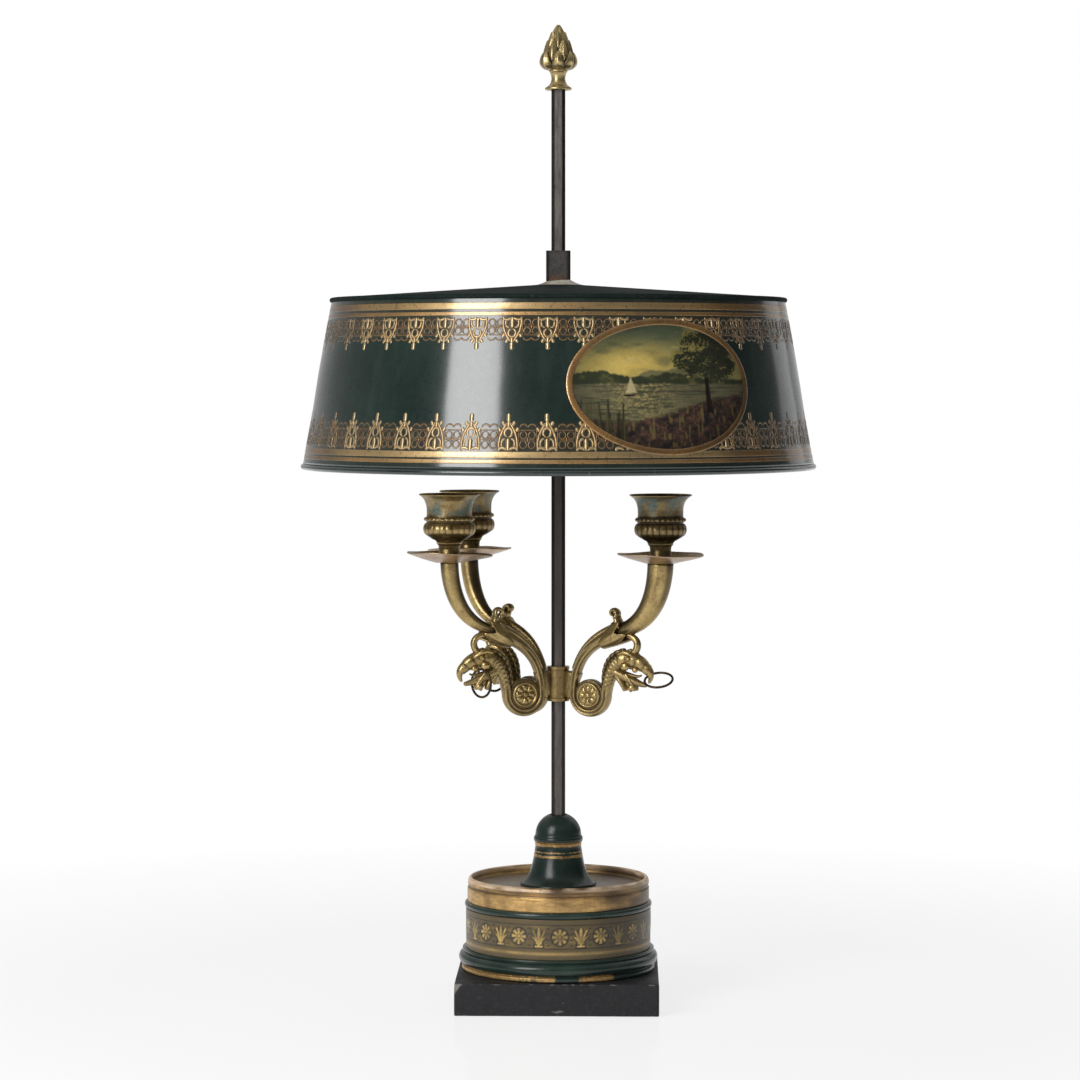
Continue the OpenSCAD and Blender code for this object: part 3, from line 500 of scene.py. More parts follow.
piece("drum_wall", [(grid, True)], drum_paint, "base", ["base_drum"],
      {"tint": [tint * shaded[..., None]], "gilt": [(1 - dark + forms) * (0.4 + 0.6 * gleam)]})

gilt_tole, tree, shader = finish("gilt_tole", Coat_Weight=0.1)
soft, fine = grain(tree, 40, 4, 0.6, (1, 1, 0.5)), grain(tree, 480, 5, 0.7)
streak = grain(tree, 130, 4, 0.6, (1, 1, 4))
bright = mixed(tree, ranged(tree, streak, 0.35, 0.68), (224, 184, 118), (172, 134, 80))
colour = coats(tree, bright, ((134, 104, 68), soft, 0.5, 0.74), ((98, 78, 56), mark(tree, "shadowed")),
               ((224, 198, 168), mark(tree, "rim")),
               ((132, 106, 84), sums(tree, ranged(tree, fine, 0.58, 0.68), mark(tree, "rim")), 0, 1, 0.6),
               (mixed(tree, ranged(tree, soft, 0.4, 0.65), (92, 76, 56), (118, 96, 68)), mark(tree, "floor")),
               ((80, 62, 44), fine, 0.6, 0.7, 0.6))
dull = sums(tree, mark(tree, "floor"), mark(tree, "rim"), "MAXIMUM")
join(tree, shader, height=sums(tree, fine, streak, "ADD"), depth=0.0002, strength=0.7, Base_Color=colour,
     Metallic=sums(tree, sums(tree, 1.0, dull, "SUBTRACT"), 0.6),
     Roughness=ranged(tree, fine, 0.3, 0.7, 0.33, 0.5))
wall = eased([[4.2, tray_floor - 1.2], [tray_r - 2.4, tray_floor - 1.2], [tray_r - 2.4, tray_z],
              [tray_r - 0.2, tray_z], [tray_r + 0.2, 77], [tray_r + 0.1, 84.6], [tray_r - 0.8, 85.4],
              [tray_r - 0.8, 86.6], [tray_r, 87.4], [tray_r, 89.4], [tray_r - 0.7, 91.4], [tray_r - 2, rim_z],
              [tray_r - 3, 91.9], [tray_r - 3.2, 87.6], [tray_r - 4.2, tray_floor], [4.2, tray_floor]], 0.45)
grid = turned(stepped(wall, 1.4), 360, dents(0.35, 14, 9))
around, up = to_right(grid), grid[..., 2]
radius = reach_of(grid)
# The rim is paler where its metal is worn, and painted paler towards the two sides as painted sheen.
rim = smooth(up, 88.6, 89.8) * (radius > tray_r - 3.6) \
    * (0.15 + 0.75 * abs(np.sin(np.radians(around))) + 0.45 * mottle(around / 8, up / 2, 15, 45))
floor_part = 1 - smooth(radius, tray_r - 4.6, tray_r - 3.4)
right_side = 0.95 * within(around, 16, 38, 130, 170)
front_rim = 0.75 * smooth(up, 86.5, 88) * (1 - smooth(abs(around), 30, 60)) * (radius > tray_r - 2.8)
groove = np.exp(-((up - 86) / 0.7) ** 2) * (radius > tray_r - 1.4)
inner = 0.45 * (radius < tray_r - 2.2) * (radius > tray_r - 4.6)
shadowed = np.clip(np.maximum.reduce([right_side, groove, inner, front_rim])
                   + 0.35 * mottle(around / 12, up / 6, 16, 30), 0, 1)
piece("tray_wall", [(grid, True)], gilt_tole, "base", ["tray"],
      {"rim": [np.clip(rim, 0, 1)], "floor": [floor_part], "shadowed": [shadowed * (1 - floor_part)]})

# ---- Bell ----
# A spun bell closes the foot of the rod: a spreading foot, a narrow throat, a bead and a dome. It has the
# base's green lacquer, with one gilt band under the bead and a pair of thin ones on the throat.
bell_foot_r, bell_h, throat_r, bell_bead_r, bell_hole_r = 28.6, 52.6, 17.3, 18.5, 6.7


def curve(control, steps):
    """Points of a cubic Bezier curve, of any number of values each, evenly in its parameter."""
    t = np.linspace(0, 1, steps)[:, None]
    a, b, c, d = np.asarray(control, dtype=float)
    return (1 - t) ** 3 * a + 3 * t * (1 - t) ** 2 * b + 3 * t ** 2 * (1 - t) * c + t ** 3 * d


bead_at, bead_half = bell_h * 0.655, 2.4
dome_at, dome_end = bead_at + bead_half, np.radians(67.5)
dome = np.linspace(np.radians(4), dome_end, 22)[:, None]
dome = np.concatenate([throat_r * np.cos(dome) ** 0.95,
                       dome_at + (bell_h - dome_at) * np.sin(dome) / np.sin(dome_end)], 1)
profile = np.concatenate([
    eased([[bell_foot_r - 0.3, 0], [bell_foot_r, 0.5], [bell_foot_r - 0.2, 1.6]], 0.3, False),
    curve([[bell_foot_r - 1.2, 2.2], [bell_foot_r - 6.5, 5.5], [throat_r + 2.4, 11],
           [throat_r, bell_h * 0.55]], 24),
    bow(bell_bead_r - 1.3, bead_at, 1.3, bead_half, -75, 75, 13), dome,
    [[bell_hole_r, bell_h - 0.3], [bell_hole_r, 0]]])
profile[:, 1] += tray_floor
grid = turned(stepped(profile, 1.2), 160, dents(0.08, 17, 10))
up = grid[..., 2]
bands = np.maximum.reduce([within(up, *ends) for ends in (
    (115.9, 116.2, 118.9, 119.3), (110.4, 110.7, 112.1, 112.4), (107.2, 107.5, 109, 109.4))])
piece("bell", [(grid, True)], bell_tole, "base", ["bell_socket"],
      {"gilt": [bands * (0.95 + 0.25 * mottle(to_right(grid) / 20, up, 18, 18))]})

# ---- Rod, collar and sleeve ----
# A chamfered square bar of forged iron, browned by handling, with a rusty iron sleeve for the shade and a
# cast brass collar for the arms. Brass thumb screws hold both, and a run of tin solder joins sleeve and lid.


def place_on(tree, axis):
    """A point's own coordinate along an axis, in metres."""
    return node(tree, "SeparateXYZ", {0: node(tree, "TexCoord").outputs["Object"]}).outputs[axis]


def off_axis(tree):
    """|x| + |y| of a point, which is largest on the corners of a square bar."""
    return sums(tree, *(sums(tree, place_on(tree, axis), 0, "ABSOLUTE") for axis in "XY"), "ADD")


rod_iron, tree, shader = finish("rod_iron", Metallic=0.8)
brushed = grain(tree, 420, 5, 0.65, (1, 1, 0.12))
cloud = grain(tree, 28, 4, 0.6, (1, 1, 0.5))
height = place_on(tree, "Z")
# The rod is painted darker from the collar up to the shade's top as painted shade, lighter above the shade as
# painted light, and near black on its corners as painted shade.
colour = coats(tree, (112, 106, 102), ((82, 78, 76), height, 0.24, 0.28), ((136, 130, 124), height, 0.5, 0.56),
               ((66, 62, 60), brushed, 0.4, 0.7, 0.7), ((108, 88, 72), cloud, 0.52, 0.68, 0.3),
               ((34, 31, 29), off_axis(tree), 0.0074, 0.0082, 0.85),
               ((52, 44, 40), grain(tree, 260, 5, 0.7), 0.62, 0.7, 0.7))
join(tree, shader, height=brushed, depth=0.0002, strength=0.6, Base_Color=colour,
     Roughness=ranged(tree, cloud, 0.3, 0.7, 0.34, 0.52))
dress(rod_iron, "rod")

sleeve_iron, tree, shader = finish("sleeve_iron", Metallic=0.7)
pits, cloud = grain(tree, 800, 5, 0.7), grain(tree, 90, 4, 0.6)
rust = sums(tree, ranged(tree, place_on(tree, "Z"), 0.545, 0.537), ranged(tree, cloud, 0.3, 0.5))
# The sleeve's corners are painted near black as painted shade.
colour = coats(tree, (66, 64, 64), ((98, 94, 90), cloud, 0.35, 0.7), ((44, 40, 38), pits, 0.58, 0.7),
               ((110, 76, 52), rust), ((26, 25, 24), off_axis(tree), 0.0148, 0.0164, 0.85))
join(tree, shader, height=pits, depth=0.0004, strength=0.8, Base_Color=colour,
     Roughness=ranged(tree, cloud, 0.3, 0.7, 0.4, 0.66))
dress(sleeve_iron, "shade_sleeve")

tin, tree, shader = finish("tin", Metallic=0.25)
cloud, fine = grain(tree, 150, 4, 0.6), grain(tree, 900, 4, 0.6)
colour = coats(tree, (206, 204, 188), ((168, 162, 144), cloud, 0.35, 0.65), ((112, 100, 84), fine, 0.62, 0.72),
               ((136, 108, 94), mark(tree, "stained"), 0, 1, 0.8))
join(tree, shader, height=sums(tree, fine, cloud, "ADD"), depth=0.0004, Base_Color=colour,
     Roughness=ranged(tree, cloud, 0.3, 0.7, 0.38, 0.6))
turn = full_turn(96)
share = np.linspace(0, 1, 14)[:, None]
sleeve_half, run_r, lid_top = 8.9, 18.6, 534.9
square = sleeve_half / np.maximum(abs(np.cos(turn)), abs(np.sin(turn)))
run = run_r + 2.2 * mottle(turn * 7 / (2 * np.pi), 0, 41, 7)
radius = np.concatenate([run + (square - run) * share, square + 0 * share[:2], run - 0.6 + 0 * share[:1]])
rise = np.concatenate([0.4 + (3.6 + 0.9 * mottle(turn * 5 / (2 * np.pi), 0, 42, 5)) * share ** 1.7,
                       1.5 - 1.2 * share[:2] + 0 * turn, 0 * share[:1] + 0 * turn])
rise[0] = 0
solder = round_rod(radius, turn, lid_top + rise)[None]
piece("solder_run", [(solder, True)], tin, "shade", ["shade_plate"],
      {"stained": [smooth(-solder[..., 0], 4, 12) * (solder[..., 1] < 6)]})


def brass_finish(name, light, middle, deep, stain):
    """Old brass: light on ridges, deep where the piece's mark of patina and painted shade is high, with clouds
    of brown stain, and grey-green verdigris where its own mark is 1."""
    made, tree, shader = finish(name)
    cloud, fine = grain(tree, 75, 4, 0.6), grain(tree, 620, 5, 0.7)
    ridge = ranged(tree, node(tree, "NewGeometry").outputs["Pointiness"], 0.49, 0.53)
    green = sums(tree, mark(tree, "verdigris"), ranged(tree, grain(tree, 110, 4, 0.6), 0.4, 0.58))
    colour = coats(tree, light, (middle, cloud, 0.32, 0.7), (deep, fine, 0.5, 0.7, 0.5),
                   (stain, grain(tree, 130, 4, 0.65), 0.56, 0.68, 0.75), (light, ridge, 0, 1, 0.5),
                   (deep, mark(tree, "patina_and_shade")),
                   (mixed(tree, ranged(tree, fine, 0.4, 0.65), (116, 130, 120), (78, 90, 84)), green))
    metal = sums(tree, sums(tree, 1.0, sums(tree, green, 0.6), "SUBTRACT"),
                 sums(tree, 0.92, sums(tree, mark(tree, "patina_and_shade"), 0.4), "SUBTRACT"))
    rough = sums(tree, ranged(tree, fine, 0.3, 0.7, 0.24, 0.4), sums(tree, green, 0.2), "ADD")
    join(tree, shader, height=sums(tree, fine, cloud, "ADD"), depth=0.00025, strength=0.55, Base_Color=colour,
         Metallic=metal, Roughness=rough)
    return made


brass = brass_finish("brass", (196, 172, 118), (142, 118, 74), (54, 42, 25), (108, 80, 56))
# A darker copy of the brass for the collar and the two thumb screws.
darker_brass = brass_finish("darker_brass", (158, 136, 92), (118, 98, 64), (64, 50, 32), (96, 74, 52))
dress(darker_brass, "arm_collar", "collar_screw", "shade_screw")

# ---- Finial ----
# A cast and gilt bud screwed on the rod's end: a turned foot, and four tiers of seven pointed leaves that
# fold upwards round each other, each leaf ribbed down its middle and free at its tip.
gilt_brass = brass_finish("gilt_brass", (228, 206, 152), (180, 156, 100), (66, 52, 28), (132, 112, 66))
rod_top, leaf_count, leaf_rows, leaf_columns = 681, 7, 22, 13


def leaves(control, wide, turn, curl):
    """One tier of leaves. Along a leaf t goes from 0 to 1 on a Bezier curve of (radius, height over the rod);
    across it s goes from -1 to 1. The outline is wide * sin(pi t^0.85)^0.75, pointed at the tip; the face
    drops by the square of s towards the edges, rises in a rib along the middle, and turns out by curl at the
    tip. The grid goes round the leaf, front and then back."""
    t = np.linspace(0, 1, leaf_rows)[:, None]
    s = np.concatenate([np.linspace(-1, 1, leaf_columns), np.linspace(1, -1, leaf_columns)[1:-1]])
    front = np.concatenate([np.ones(leaf_columns), np.zeros(leaf_columns - 2)])
    half = wide * np.sin(np.pi * (0.16 + 0.84 * t) ** 0.85) ** 0.75
    body, up = curve(control, leaf_rows).T[:, :, None]
    radius = body - 0.4 * half * s ** 2 + 0.8 * np.exp(-(s / 0.16) ** 2) * front * np.sin(np.pi * t) ** 0.5 \
        + curl * t ** 5 - (1 - front) * (1 + 0.5 * (1 - t)) * (1 - s ** 2)
    where = np.radians(turn) + 2 * np.pi * np.arange(leaf_count)[:, None, None] / leaf_count \
        + half * s / np.maximum(radius, 3)
    return round_rod(radius, where, rod_top + up)


foot = eased([[2.8, 0], [9.6, 0], [10, 0.6], [9.9, 1.8], [8.4, 2.6], [6.8, 3.9], [5.7, 5.8], [5.1, 8.6],
              [5.4, 11], [6.3, 13.2], [6.9, 13.8], [6.9, 14.8], [8, 16.2], [2, 17]], 0.5)
foot[:, 1] += rod_top
core = np.array([[4.8, 14.5], [8.8, 17.5], [10.6, 22], [9.8, 27], [7.6, 33], [5.2, 39], [2.4, 45],
                 [0.3, 48.6]])
core[:, 1] += rod_top
grids = [(turned(foot, 64), True), (turned(stepped(core, 2, closed=False), 48), False),
         (leaves([[5.4, 14.6], [13.6, 15], [16.4, 21.5], [10.6, 28.6]], 5.9, -90, 0.9), False),
         (leaves([[9.6, 20], [12.4, 24], [10.4, 31], [7, 37]], 5, -90 + 180 / leaf_count, 1.6), False),
         (leaves([[7.6, 29], [9.2, 33.5], [6.6, 39], [4, 43.6]], 3.8, -90, 1.4), False),
         (leaves([[5.4, 35], [5.6, 40], [3, 45], [0.9, 48.8]], 2.6, -90 + 180 / leaf_count, 0), False)]
# The core seen between the leaves, the leaves' roots and their edges that tuck inward are painted darker as
# painted shade between the leaves.
patina_and_shade = [0.25 + 0 * grids[0][0][..., 0], 0.9 + 0 * grids[1][0][..., 0]]
for points, _ in grids[2:]:
    radius = reach_of(points)
    lies = radius.max(2, keepdims=True) - radius
    root = (1 - np.linspace(0, 1, leaf_rows)[:, None]) ** 2
    patina_and_shade.append(np.clip(0.6 * root + smooth(lies, 0.6, 2.2) * 0.75, 0, 1))
piece("finial_bud", grids, gilt_brass, "base", ["finial"],
      {"patina_and_shade": patina_and_shade, "verdigris": [0 * part for part in patina_and_shade]})

# ---- Candle arms ----
# Three brass castings seated on the collar. Each strap rolls into a volute with a rosette, grows a scaled
# beast's neck and head on one side and a leafy sheath on the other, and from the sheath rises the horn.
collar_z, eye_out, eye_drop, volute_r, web_half = 237, 26.8, 7.5, 13.3, 3.2
arm_reach, horn_rise, calyx_out, calyx_rise = 84, 92, 55.5, 43.2
arms = {"right": (-25, 1.0), "front": (196.5, 0.7), "rear": (145, 0.7)}


def tube(path, sides, power=1.0, relief=0):
    """Grid of a tube along stations (x, y, z, half thickness, half width). Its section is an ellipse, squared
    up where power is under 1. The half width lies along y, the half thickness at right angles to it and to
    the path. relief grows each point away from the path by its share."""
    way = np.gradient(path[:, :3], axis=0)
    way /= np.linalg.norm(way, axis=1, keepdims=True)
    wide = np.array([0, 1, 0]) - way[:, 1:2] * way
    wide /= np.linalg.norm(wide, axis=1, keepdims=True)
    thick = np.cross(way, wide)
    angle = full_turn(sides)
    c, s = (np.sign(part) * abs(part) ** power for part in (np.cos(angle), np.sin(angle)))
    grow = (1 + relief) * np.ones((len(path), sides))
    return (path[:, None, :3] + (path[:, 3:4] * c * grow)[..., None] * thick[:, None]
            + (path[:, 4:5] * s * grow)[..., None] * wide[:, None])[None]


def flat_path(control, steps):
    """Stations of a curve in the arm's plane, from control values (x, z, half thickness, half width)."""
    return np.insert(curve(control, steps), 1, 0, axis=1)


def closing(path, ends=(True, True), rows=5):
    """The path with its ends rounded off: rows stations more, in which the section shrinks as a quarter
    circle while the path runs on by a half thickness."""
    way = np.gradient(path[:, :3], axis=0)
    turn = np.linspace(0, np.pi / 2 * 0.97, rows + 1)[1:, None]
    for at, step, wanted in ((0, -1, ends[0]), (-1, 1, ends[1])):
        if wanted:
            ahead = step * way[at] / np.linalg.norm(way[at])
            more = np.concatenate([path[at, :3] + ahead * path[at, 3] * 0.8 * np.sin(turn),
                                   path[at, 3:] * np.cos(turn)], 1)
            path = np.concatenate([more[::-1], path]) if at == 0 else np.concatenate([path, more])
    return path


def blob(x, y, z, size, stretch=(1, 1, 1)):
    """Grid of a small ellipsoid."""
    t = np.linspace(-np.pi / 2 * 0.96, np.pi / 2 * 0.96, 9)[:, None]
    angle = full_turn(12)
    unit = np.stack([np.cos(t) * np.cos(angle), np.cos(t) * np.sin(angle), np.sin(t) + 0 * angle], -1)
    return (np.array([x, y, z]) + size * np.array(stretch) * unit)[None]


def both(grid):
    """A grid and its mirror image across the arm's plane."""
    return [grid, grid * (1, -1, 1)]


strap_curve = flat_path([
    [calyx_out - 9, calyx_rise - 4.6, 5.6, 6.8], [calyx_out - 25.3, calyx_rise - 12.1, 3.4, 6.4],
    [eye_out - volute_r, 30.3 - eye_drop, 3, 5.2], [eye_out - volute_r, -eye_drop, 3.1, 5.2]], 46)
turn = np.radians(np.linspace(180, 360, 40))[1:-1]
volute = np.stack([eye_out + volute_r * np.cos(turn), 0 * turn, volute_r * np.sin(turn) - eye_drop,
                   3.1 + 0.3 * (turn / np.pi - 1), 5.2 + 0 * turn], -1)
neck = flat_path([[eye_out + volute_r, -eye_drop, 3.4, 5.2], [eye_out + volute_r + 0.6, 6, 4.6, 5.4],
                  [46, 20, 6.4, 6.4], [56.5, 20, 6, 6.2]], 46)
strap = np.concatenate([strap_curve, volute, neck])
parts = []


def add(patina_and_shade, *grids):
    """Adds forms to the beast. The first argument says how dark the brass is on them, 0 to 1, as one number or
    at
    each point: patina by how deep they lie, and painted shade on some forms.
    """
    for grid in grids:
        parts.append((grid, np.clip(patina_and_shade + np.zeros(grid.shape[1:3]), 0, 1)))


def furrows(sides, at, wide, deep):
    """Grooves along a tube of so many sides, where the sine of the angle round it is at or -at."""
    return -deep * np.exp(-((abs(np.sin(full_turn(sides))) - at) / wide) ** 2)


sides = 40
angle = full_turn(sides)
grooves = furrows(sides, 1, 0.02, 0.1) + furrows(sides, 0.9, 0.05, -0.05)
count = np.arange(len(strap))[:, None]
on_neck = within(count, len(strap) - 44, len(strap) - 36, len(strap) - 8, len(strap))
scales = count / 4.2 + 0.5 * (np.round(angle * 12 / (2 * np.pi)) % 2)
scales = 0.13 * ((scales % 1) - 0.5) * abs(np.cos(angle * 6)) ** 0.5
strap_relief = grooves * (1 - on_neck) * smooth(count, 14, 26) + scales * on_neck
# The back of the neck, towards the rod, is painted darker as painted shadow.
add(0.35 - 5 * strap_relief + 0.5 * on_neck * smooth(np.cos(angle), 0.1, 0.7),
    tube(strap, sides, 0.8, strap_relief))

# Sheath of leaves: a tube whose far rim is scalloped into six pointed lobes, folded back inside at the rim
out_rows, fold_rows, path_rows = 30, 6, 100
sheath_t = np.concatenate([np.linspace(0, 1, out_rows), np.linspace(1, 0.8, fold_rows)])[:, None]
sheath = flat_path([
    [calyx_out - 19, calyx_rise - 12.2, 4.6, 6.6], [calyx_out - 13, calyx_rise - 8.6, 6.6, 7.6],
    [calyx_out - 7, calyx_rise - 4.6, 8, 8.4], [calyx_out + 1.5, calyx_rise + 0.4, 8.6, 9]], path_rows + 1)
inner_row = np.concatenate([np.zeros(out_rows), np.linspace(0.25, 1, fold_rows)])[:, None]
lobes = np.cos(6 * angle)
rim_share = sheath_t ** 3
rows_at = np.clip(sheath_t * (0.86 + 0.14 * lobes * rim_share), 0, 1) * path_rows
low_row = np.clip(np.floor(rows_at).astype(int), 0, path_rows - 1)
part_row = (rows_at - low_row)[..., None]
columns = np.arange(sides)
outer, spine = (line[low_row, columns] * (1 - part_row) + line[low_row + 1, columns] * part_row
                for line in (tube(sheath, sides, 0.9)[0], np.repeat(sheath[:, None, :3], sides, 1)))
veins = 0.08 * abs(lobes) ** 0.6 * smooth(sheath_t, 0.1, 0.6) + 0.03 * np.cos(24 * angle) * rim_share
grow = (1 + veins + 0.1 * rim_share * (1 - inner_row)) * (1 - 0.3 * inner_row)
add(0.45 - 6 * veins + 0.8 * inner_row, (spine + (outer - spine) * grow[..., None])[None])

# Curled tip of the sheath's upper leaf, and the leaf's rib along the strap
curl_rows = 22
curl_turn, curl_r = np.radians(np.linspace(-60, 250, curl_rows)), np.linspace(3.6, 1.4, curl_rows)
tip = flat_path([[50.5, 43, 3.4, 6.2], [50, 48, 2.9, 5.6], [49.4, 50, 2.6, 5.2], [47.6, 51.2, 2.3, 4.8]], 9)
curl = np.stack([46 + curl_r * np.cos(curl_turn), 0 * curl_turn, 54 + curl_r * np.sin(curl_turn),
                 np.linspace(2, 1.2, curl_rows), np.linspace(4.8, 2.6, curl_rows)], -1)
tip_relief = furrows(24, 0.55, 0.12, 0.16)
tip = closing(np.concatenate([tip[:-1], curl]), (False, True))
add(0.25 - 3 * tip_relief, tube(tip, 24, 0.9, tip_relief))
rib = flat_path([[48, 44.4, 3, 3.4], [36, 39, 2.9, 3.2], [21.4, 33.6, 2.4, 2.8], [12.8, 12, 1.2, 1.6]], 30)
add(0.1, tube(closing(rib), 10))

# Beast's head: crown and muzzle, hooked lip, tongue, lower jaw, brows, eyes, cheeks, nostrils and the jaw's
# corners, beard, the ear curled to the sheath, and the mane
muzzle = closing(flat_path([[53, 19.6, 6.6, 6.8], [62, 21.6, 6.4, 6.4], [69.5, 17.6, 5.4, 5.2],
                            [74.4, 11.4, 3.4, 3.8]], 24))
fold = np.exp(-((np.arange(len(muzzle))[:, None] % 7 - 3) / 0.8) ** 2)
fold = -0.14 * fold * abs(np.sin(full_turn(32)))
add(0.2 - 4 * fold, tube(muzzle, 32, 0.9, fold))
hook = flat_path([[73, 13.6, 3.8, 4.2], [76.6, 11, 2.9, 3.4], [77.2, 7.4, 2.1, 2.5], [75, 3.6, 1.1, 1.4]], 16)
add(0.2, tube(closing(hook, (False, True)), 20))
tongue = flat_path([[52, 10.6, 1.8, 2.6], [60, 8.4, 1.5, 2.4], [65.5, 6.6, 1.2, 2], [68.4, 8.4, 0.7, 1.2]], 16)
add(0.5, tube(closing(tongue), 14))
jaw = flat_path([[47, 11, 4.4, 5.6], [55.5, 7.2, 4, 5], [64, 2.4, 3, 3.6], [72, 1.2, 1.6, 2]], 18)
add(0.35, tube(closing(jaw), 16))
brow = np.array([[52.4, 5, 24.4, 1.4, 1.7], [57, 6.2, 25.8, 1.9, 2.1], [61.8, 5.8, 24.4, 1.7, 1.9],
                 [66, 4.4, 21.2, 1.1, 1.3]])
add(0.05, *both(tube(closing(brow), 12)))
for lump in ((60.4, 6.0, 20.8, 2.1), (61.6, 7.6, 20.8, 0.8), (57.6, 5.8, 15.2, 3.3, (1.15, 0.8, 1)),
             (65.6, 5, 12.8, 2.3, (1.1, 0.7, 0.9)), (73.6, 3.2, 15, 1.7),
             (61.4, 2.3, -0.8, 2.9, (1.1, 0.8, 0.9))):
    add(0, *both(blob(*lump)))
for shift, far in ((0, 1.0), (-4.5, 0.8), (4, 0.7)):
    lock = flat_path([[53, 8.5, 2, 2.2], [58, 3, 2.2, 2.4], [59.5, -1 + (1 - far) * 4, 1.7, 1.9],
                      [60, -3.4 * far, 1.2, 1.4]], 10)
    lock = tube(closing(lock + np.array([shift, 2.2 if shift else 0, 0, 0, 0])), 12)
    add(0.25, *(both(lock) if shift else [lock]))
ear = flat_path([[54.5, 22.5, 3, 4.4], [66, 21.5, 2.5, 3.3], [70, 36, 2.7, 2.9], [58, 37.6, 2.4, 2.8]], 26)
ear_relief = furrows(20, 0.3, 0.14, 0.2)
add(0.15 - 3 * ear_relief, tube(closing(ear), 20, 0.9, ear_relief))
# The mane is painted dark all over as painted shadow on the back of the neck, and darker still between its
# strands.
mane = closing(flat_path([[37.2, 1, 1, 2], [37.2, 13.4, 1.6, 2.8], [41.6, 24.4, 2.2, 3.4],
                          [54.5, 26.8, 1.6, 2.8]], 60))
strands = np.arange(len(mane))[:, None] / 2.6 + 1.5 * abs(np.cos(full_turn(24)))
strands = -0.2 * abs(np.sin(strands)) ** 6
add(0.55 - 3 * strands, tube(mane, 24, 0.9, strands))

# Web in the volute's eye, and the foot that seats on the collar
web = eased([[0.4, web_half], [volute_r - 2.2, web_half], [volute_r - 1.6, 2.4], [volute_r - 1.6, -2.4],
             [volute_r - 2.2, -web_half], [0.4, -web_half]], 0.4, False)
web = turned(web, 40)
add(0.75, np.stack([eye_out + web[..., 0], web[..., 2], web[..., 1] - eye_drop], -1))
foot = np.array([[6.6, 0, 0.5, 9.5, 4], [10, 0, 0.2, 9.6, 4.1], [12.4, 0, -0.6, 10.4, 4.6],
                 [14.5, 0, -1.5, 11, 4.8]])
add(0.4, tube(foot, 24, 0.35))


def set_on(grid, angle):
    """A grid in an arm's frame turned to the arm's place on the collar."""
    cos, sin = math.cos(math.radians(angle)), math.sin(math.radians(angle))
    x, y, z = np.moveaxis(grid, -1, 0)
    return np.stack([x * cos - y * sin, x * sin + y * cos, z + collar_z], -1)


horn_rows, horn_sides = 56, 48
for side, (angle_of, girth) in arms.items():
    patina_and_shade = [part for _, part in parts]
    piece(side + "_beast", [(set_on(grid, angle_of), False) for grid, _ in parts], brass, "arms",
          [side + "_bracket"], {"patina_and_shade": patina_and_shade, "verdigris": [0 * part for part in patina_and_shade]})
    horn = flat_path([
        [calyx_out - 5.5, calyx_rise - 2, 4.6, 4.6], [calyx_out + 17.5, calyx_rise + 2, 7.9, 7.9],
        [arm_reach - 0.6, horn_rise - 25.5, 9.35, 9.35], [arm_reach, horn_rise, 9.7, 9.7]], horn_rows)
    horn[:, 3:] *= girth
    horn[-1, 2] -= 0.1
    inward = np.cos(full_turn(horn_sides))
    share = np.linspace(0, 1, horn_rows)[:, None] + 0 * inward
    # The horn is painted dark along its inner side and on the upper part of its outer side as painted shade,
    # and darker near both ends.
    painted_horn_shade = 0.9 * smooth(inward, 0.3, 0.7) + 0.7 * smooth(-inward, 0.66, 0.92) * smooth(share, 0.4, 0.75)
    ends = 0.55 * (1 - smooth(share, 0.12, 0.3)) + 0.2 * smooth(share, 0.9, 1)
    stem = set_on(tube(horn, horn_sides), angle_of)
    piece(side + "_horn_stem", [(stem, False)], brass, "arms", [side + "_horn"],
          {"patina_and_shade": [np.clip(ends + painted_horn_shade, 0, 1)], "verdigris": [0 * share]})

# Rosettes: a dished disc with eight petals round a boss, one on each face of every volute
rosette_r, rosette_h = 9.5, 3.2
radius = np.concatenate([np.linspace(0.1, rosette_r, 30), [rosette_r, rosette_r - 0.4]])[:, None]
angle = full_turn(96)
petal = abs(np.cos(4 * angle)) ** 0.6 * within(radius, 2.2, 3.4, 6.4, 7.4)
height = 1.1 + 1.3 * petal * (0.6 + 0.4 * np.sin(np.pi * np.clip((radius - 2) / 5.4, 0, 1))) \
    + (rosette_h - 1.1) * (1 - smooth(radius, 1.2, 2.3)) \
    + 1.1 * np.exp(-((radius - rosette_r + 1) / 0.8) ** 2)
height[-2], height[-1] = 0.6, 0
height = height + 0 * angle
dish = np.stack([radius * np.cos(angle), height, radius * np.sin(angle)], -1)[None]
patina_and_shade = np.clip(0.9 - height / 2.6, 0, 1)
faces = [dish * (1, way, 1) + np.array([eye_out, way * web_half, -eye_drop]) for way in (1, -1)]
for side, (angle_of, _) in arms.items():
    piece(side + "_rosette_pair", [(set_on(grid, angle_of), False) for grid in faces], brass, "arms",
          [side + "_rosettes"], {"patina_and_shade": [patina_and_shade, patina_and_shade], "verdigris": [0 * patina_and_shade, 0 * patina_and_shade]})

# Wire rings in the mouths keep their solids: dark, oxidised wire
ring_wire, tree, shader = finish("ring_wire", Metallic=0.6)
fine = grain(tree, 900, 4, 0.65)
join(tree, shader, height=fine, depth=0.0001, Roughness=ranged(tree, fine, 0.3, 0.7, 0.3, 0.5),
     Base_Color=mixed(tree, ranged(tree, grain(tree, 160, 4, 0.6), 0.4, 0.62), (38, 30, 22), (78, 60, 40)))
dress(ring_wire, *(side + "_ring" for side in arms))

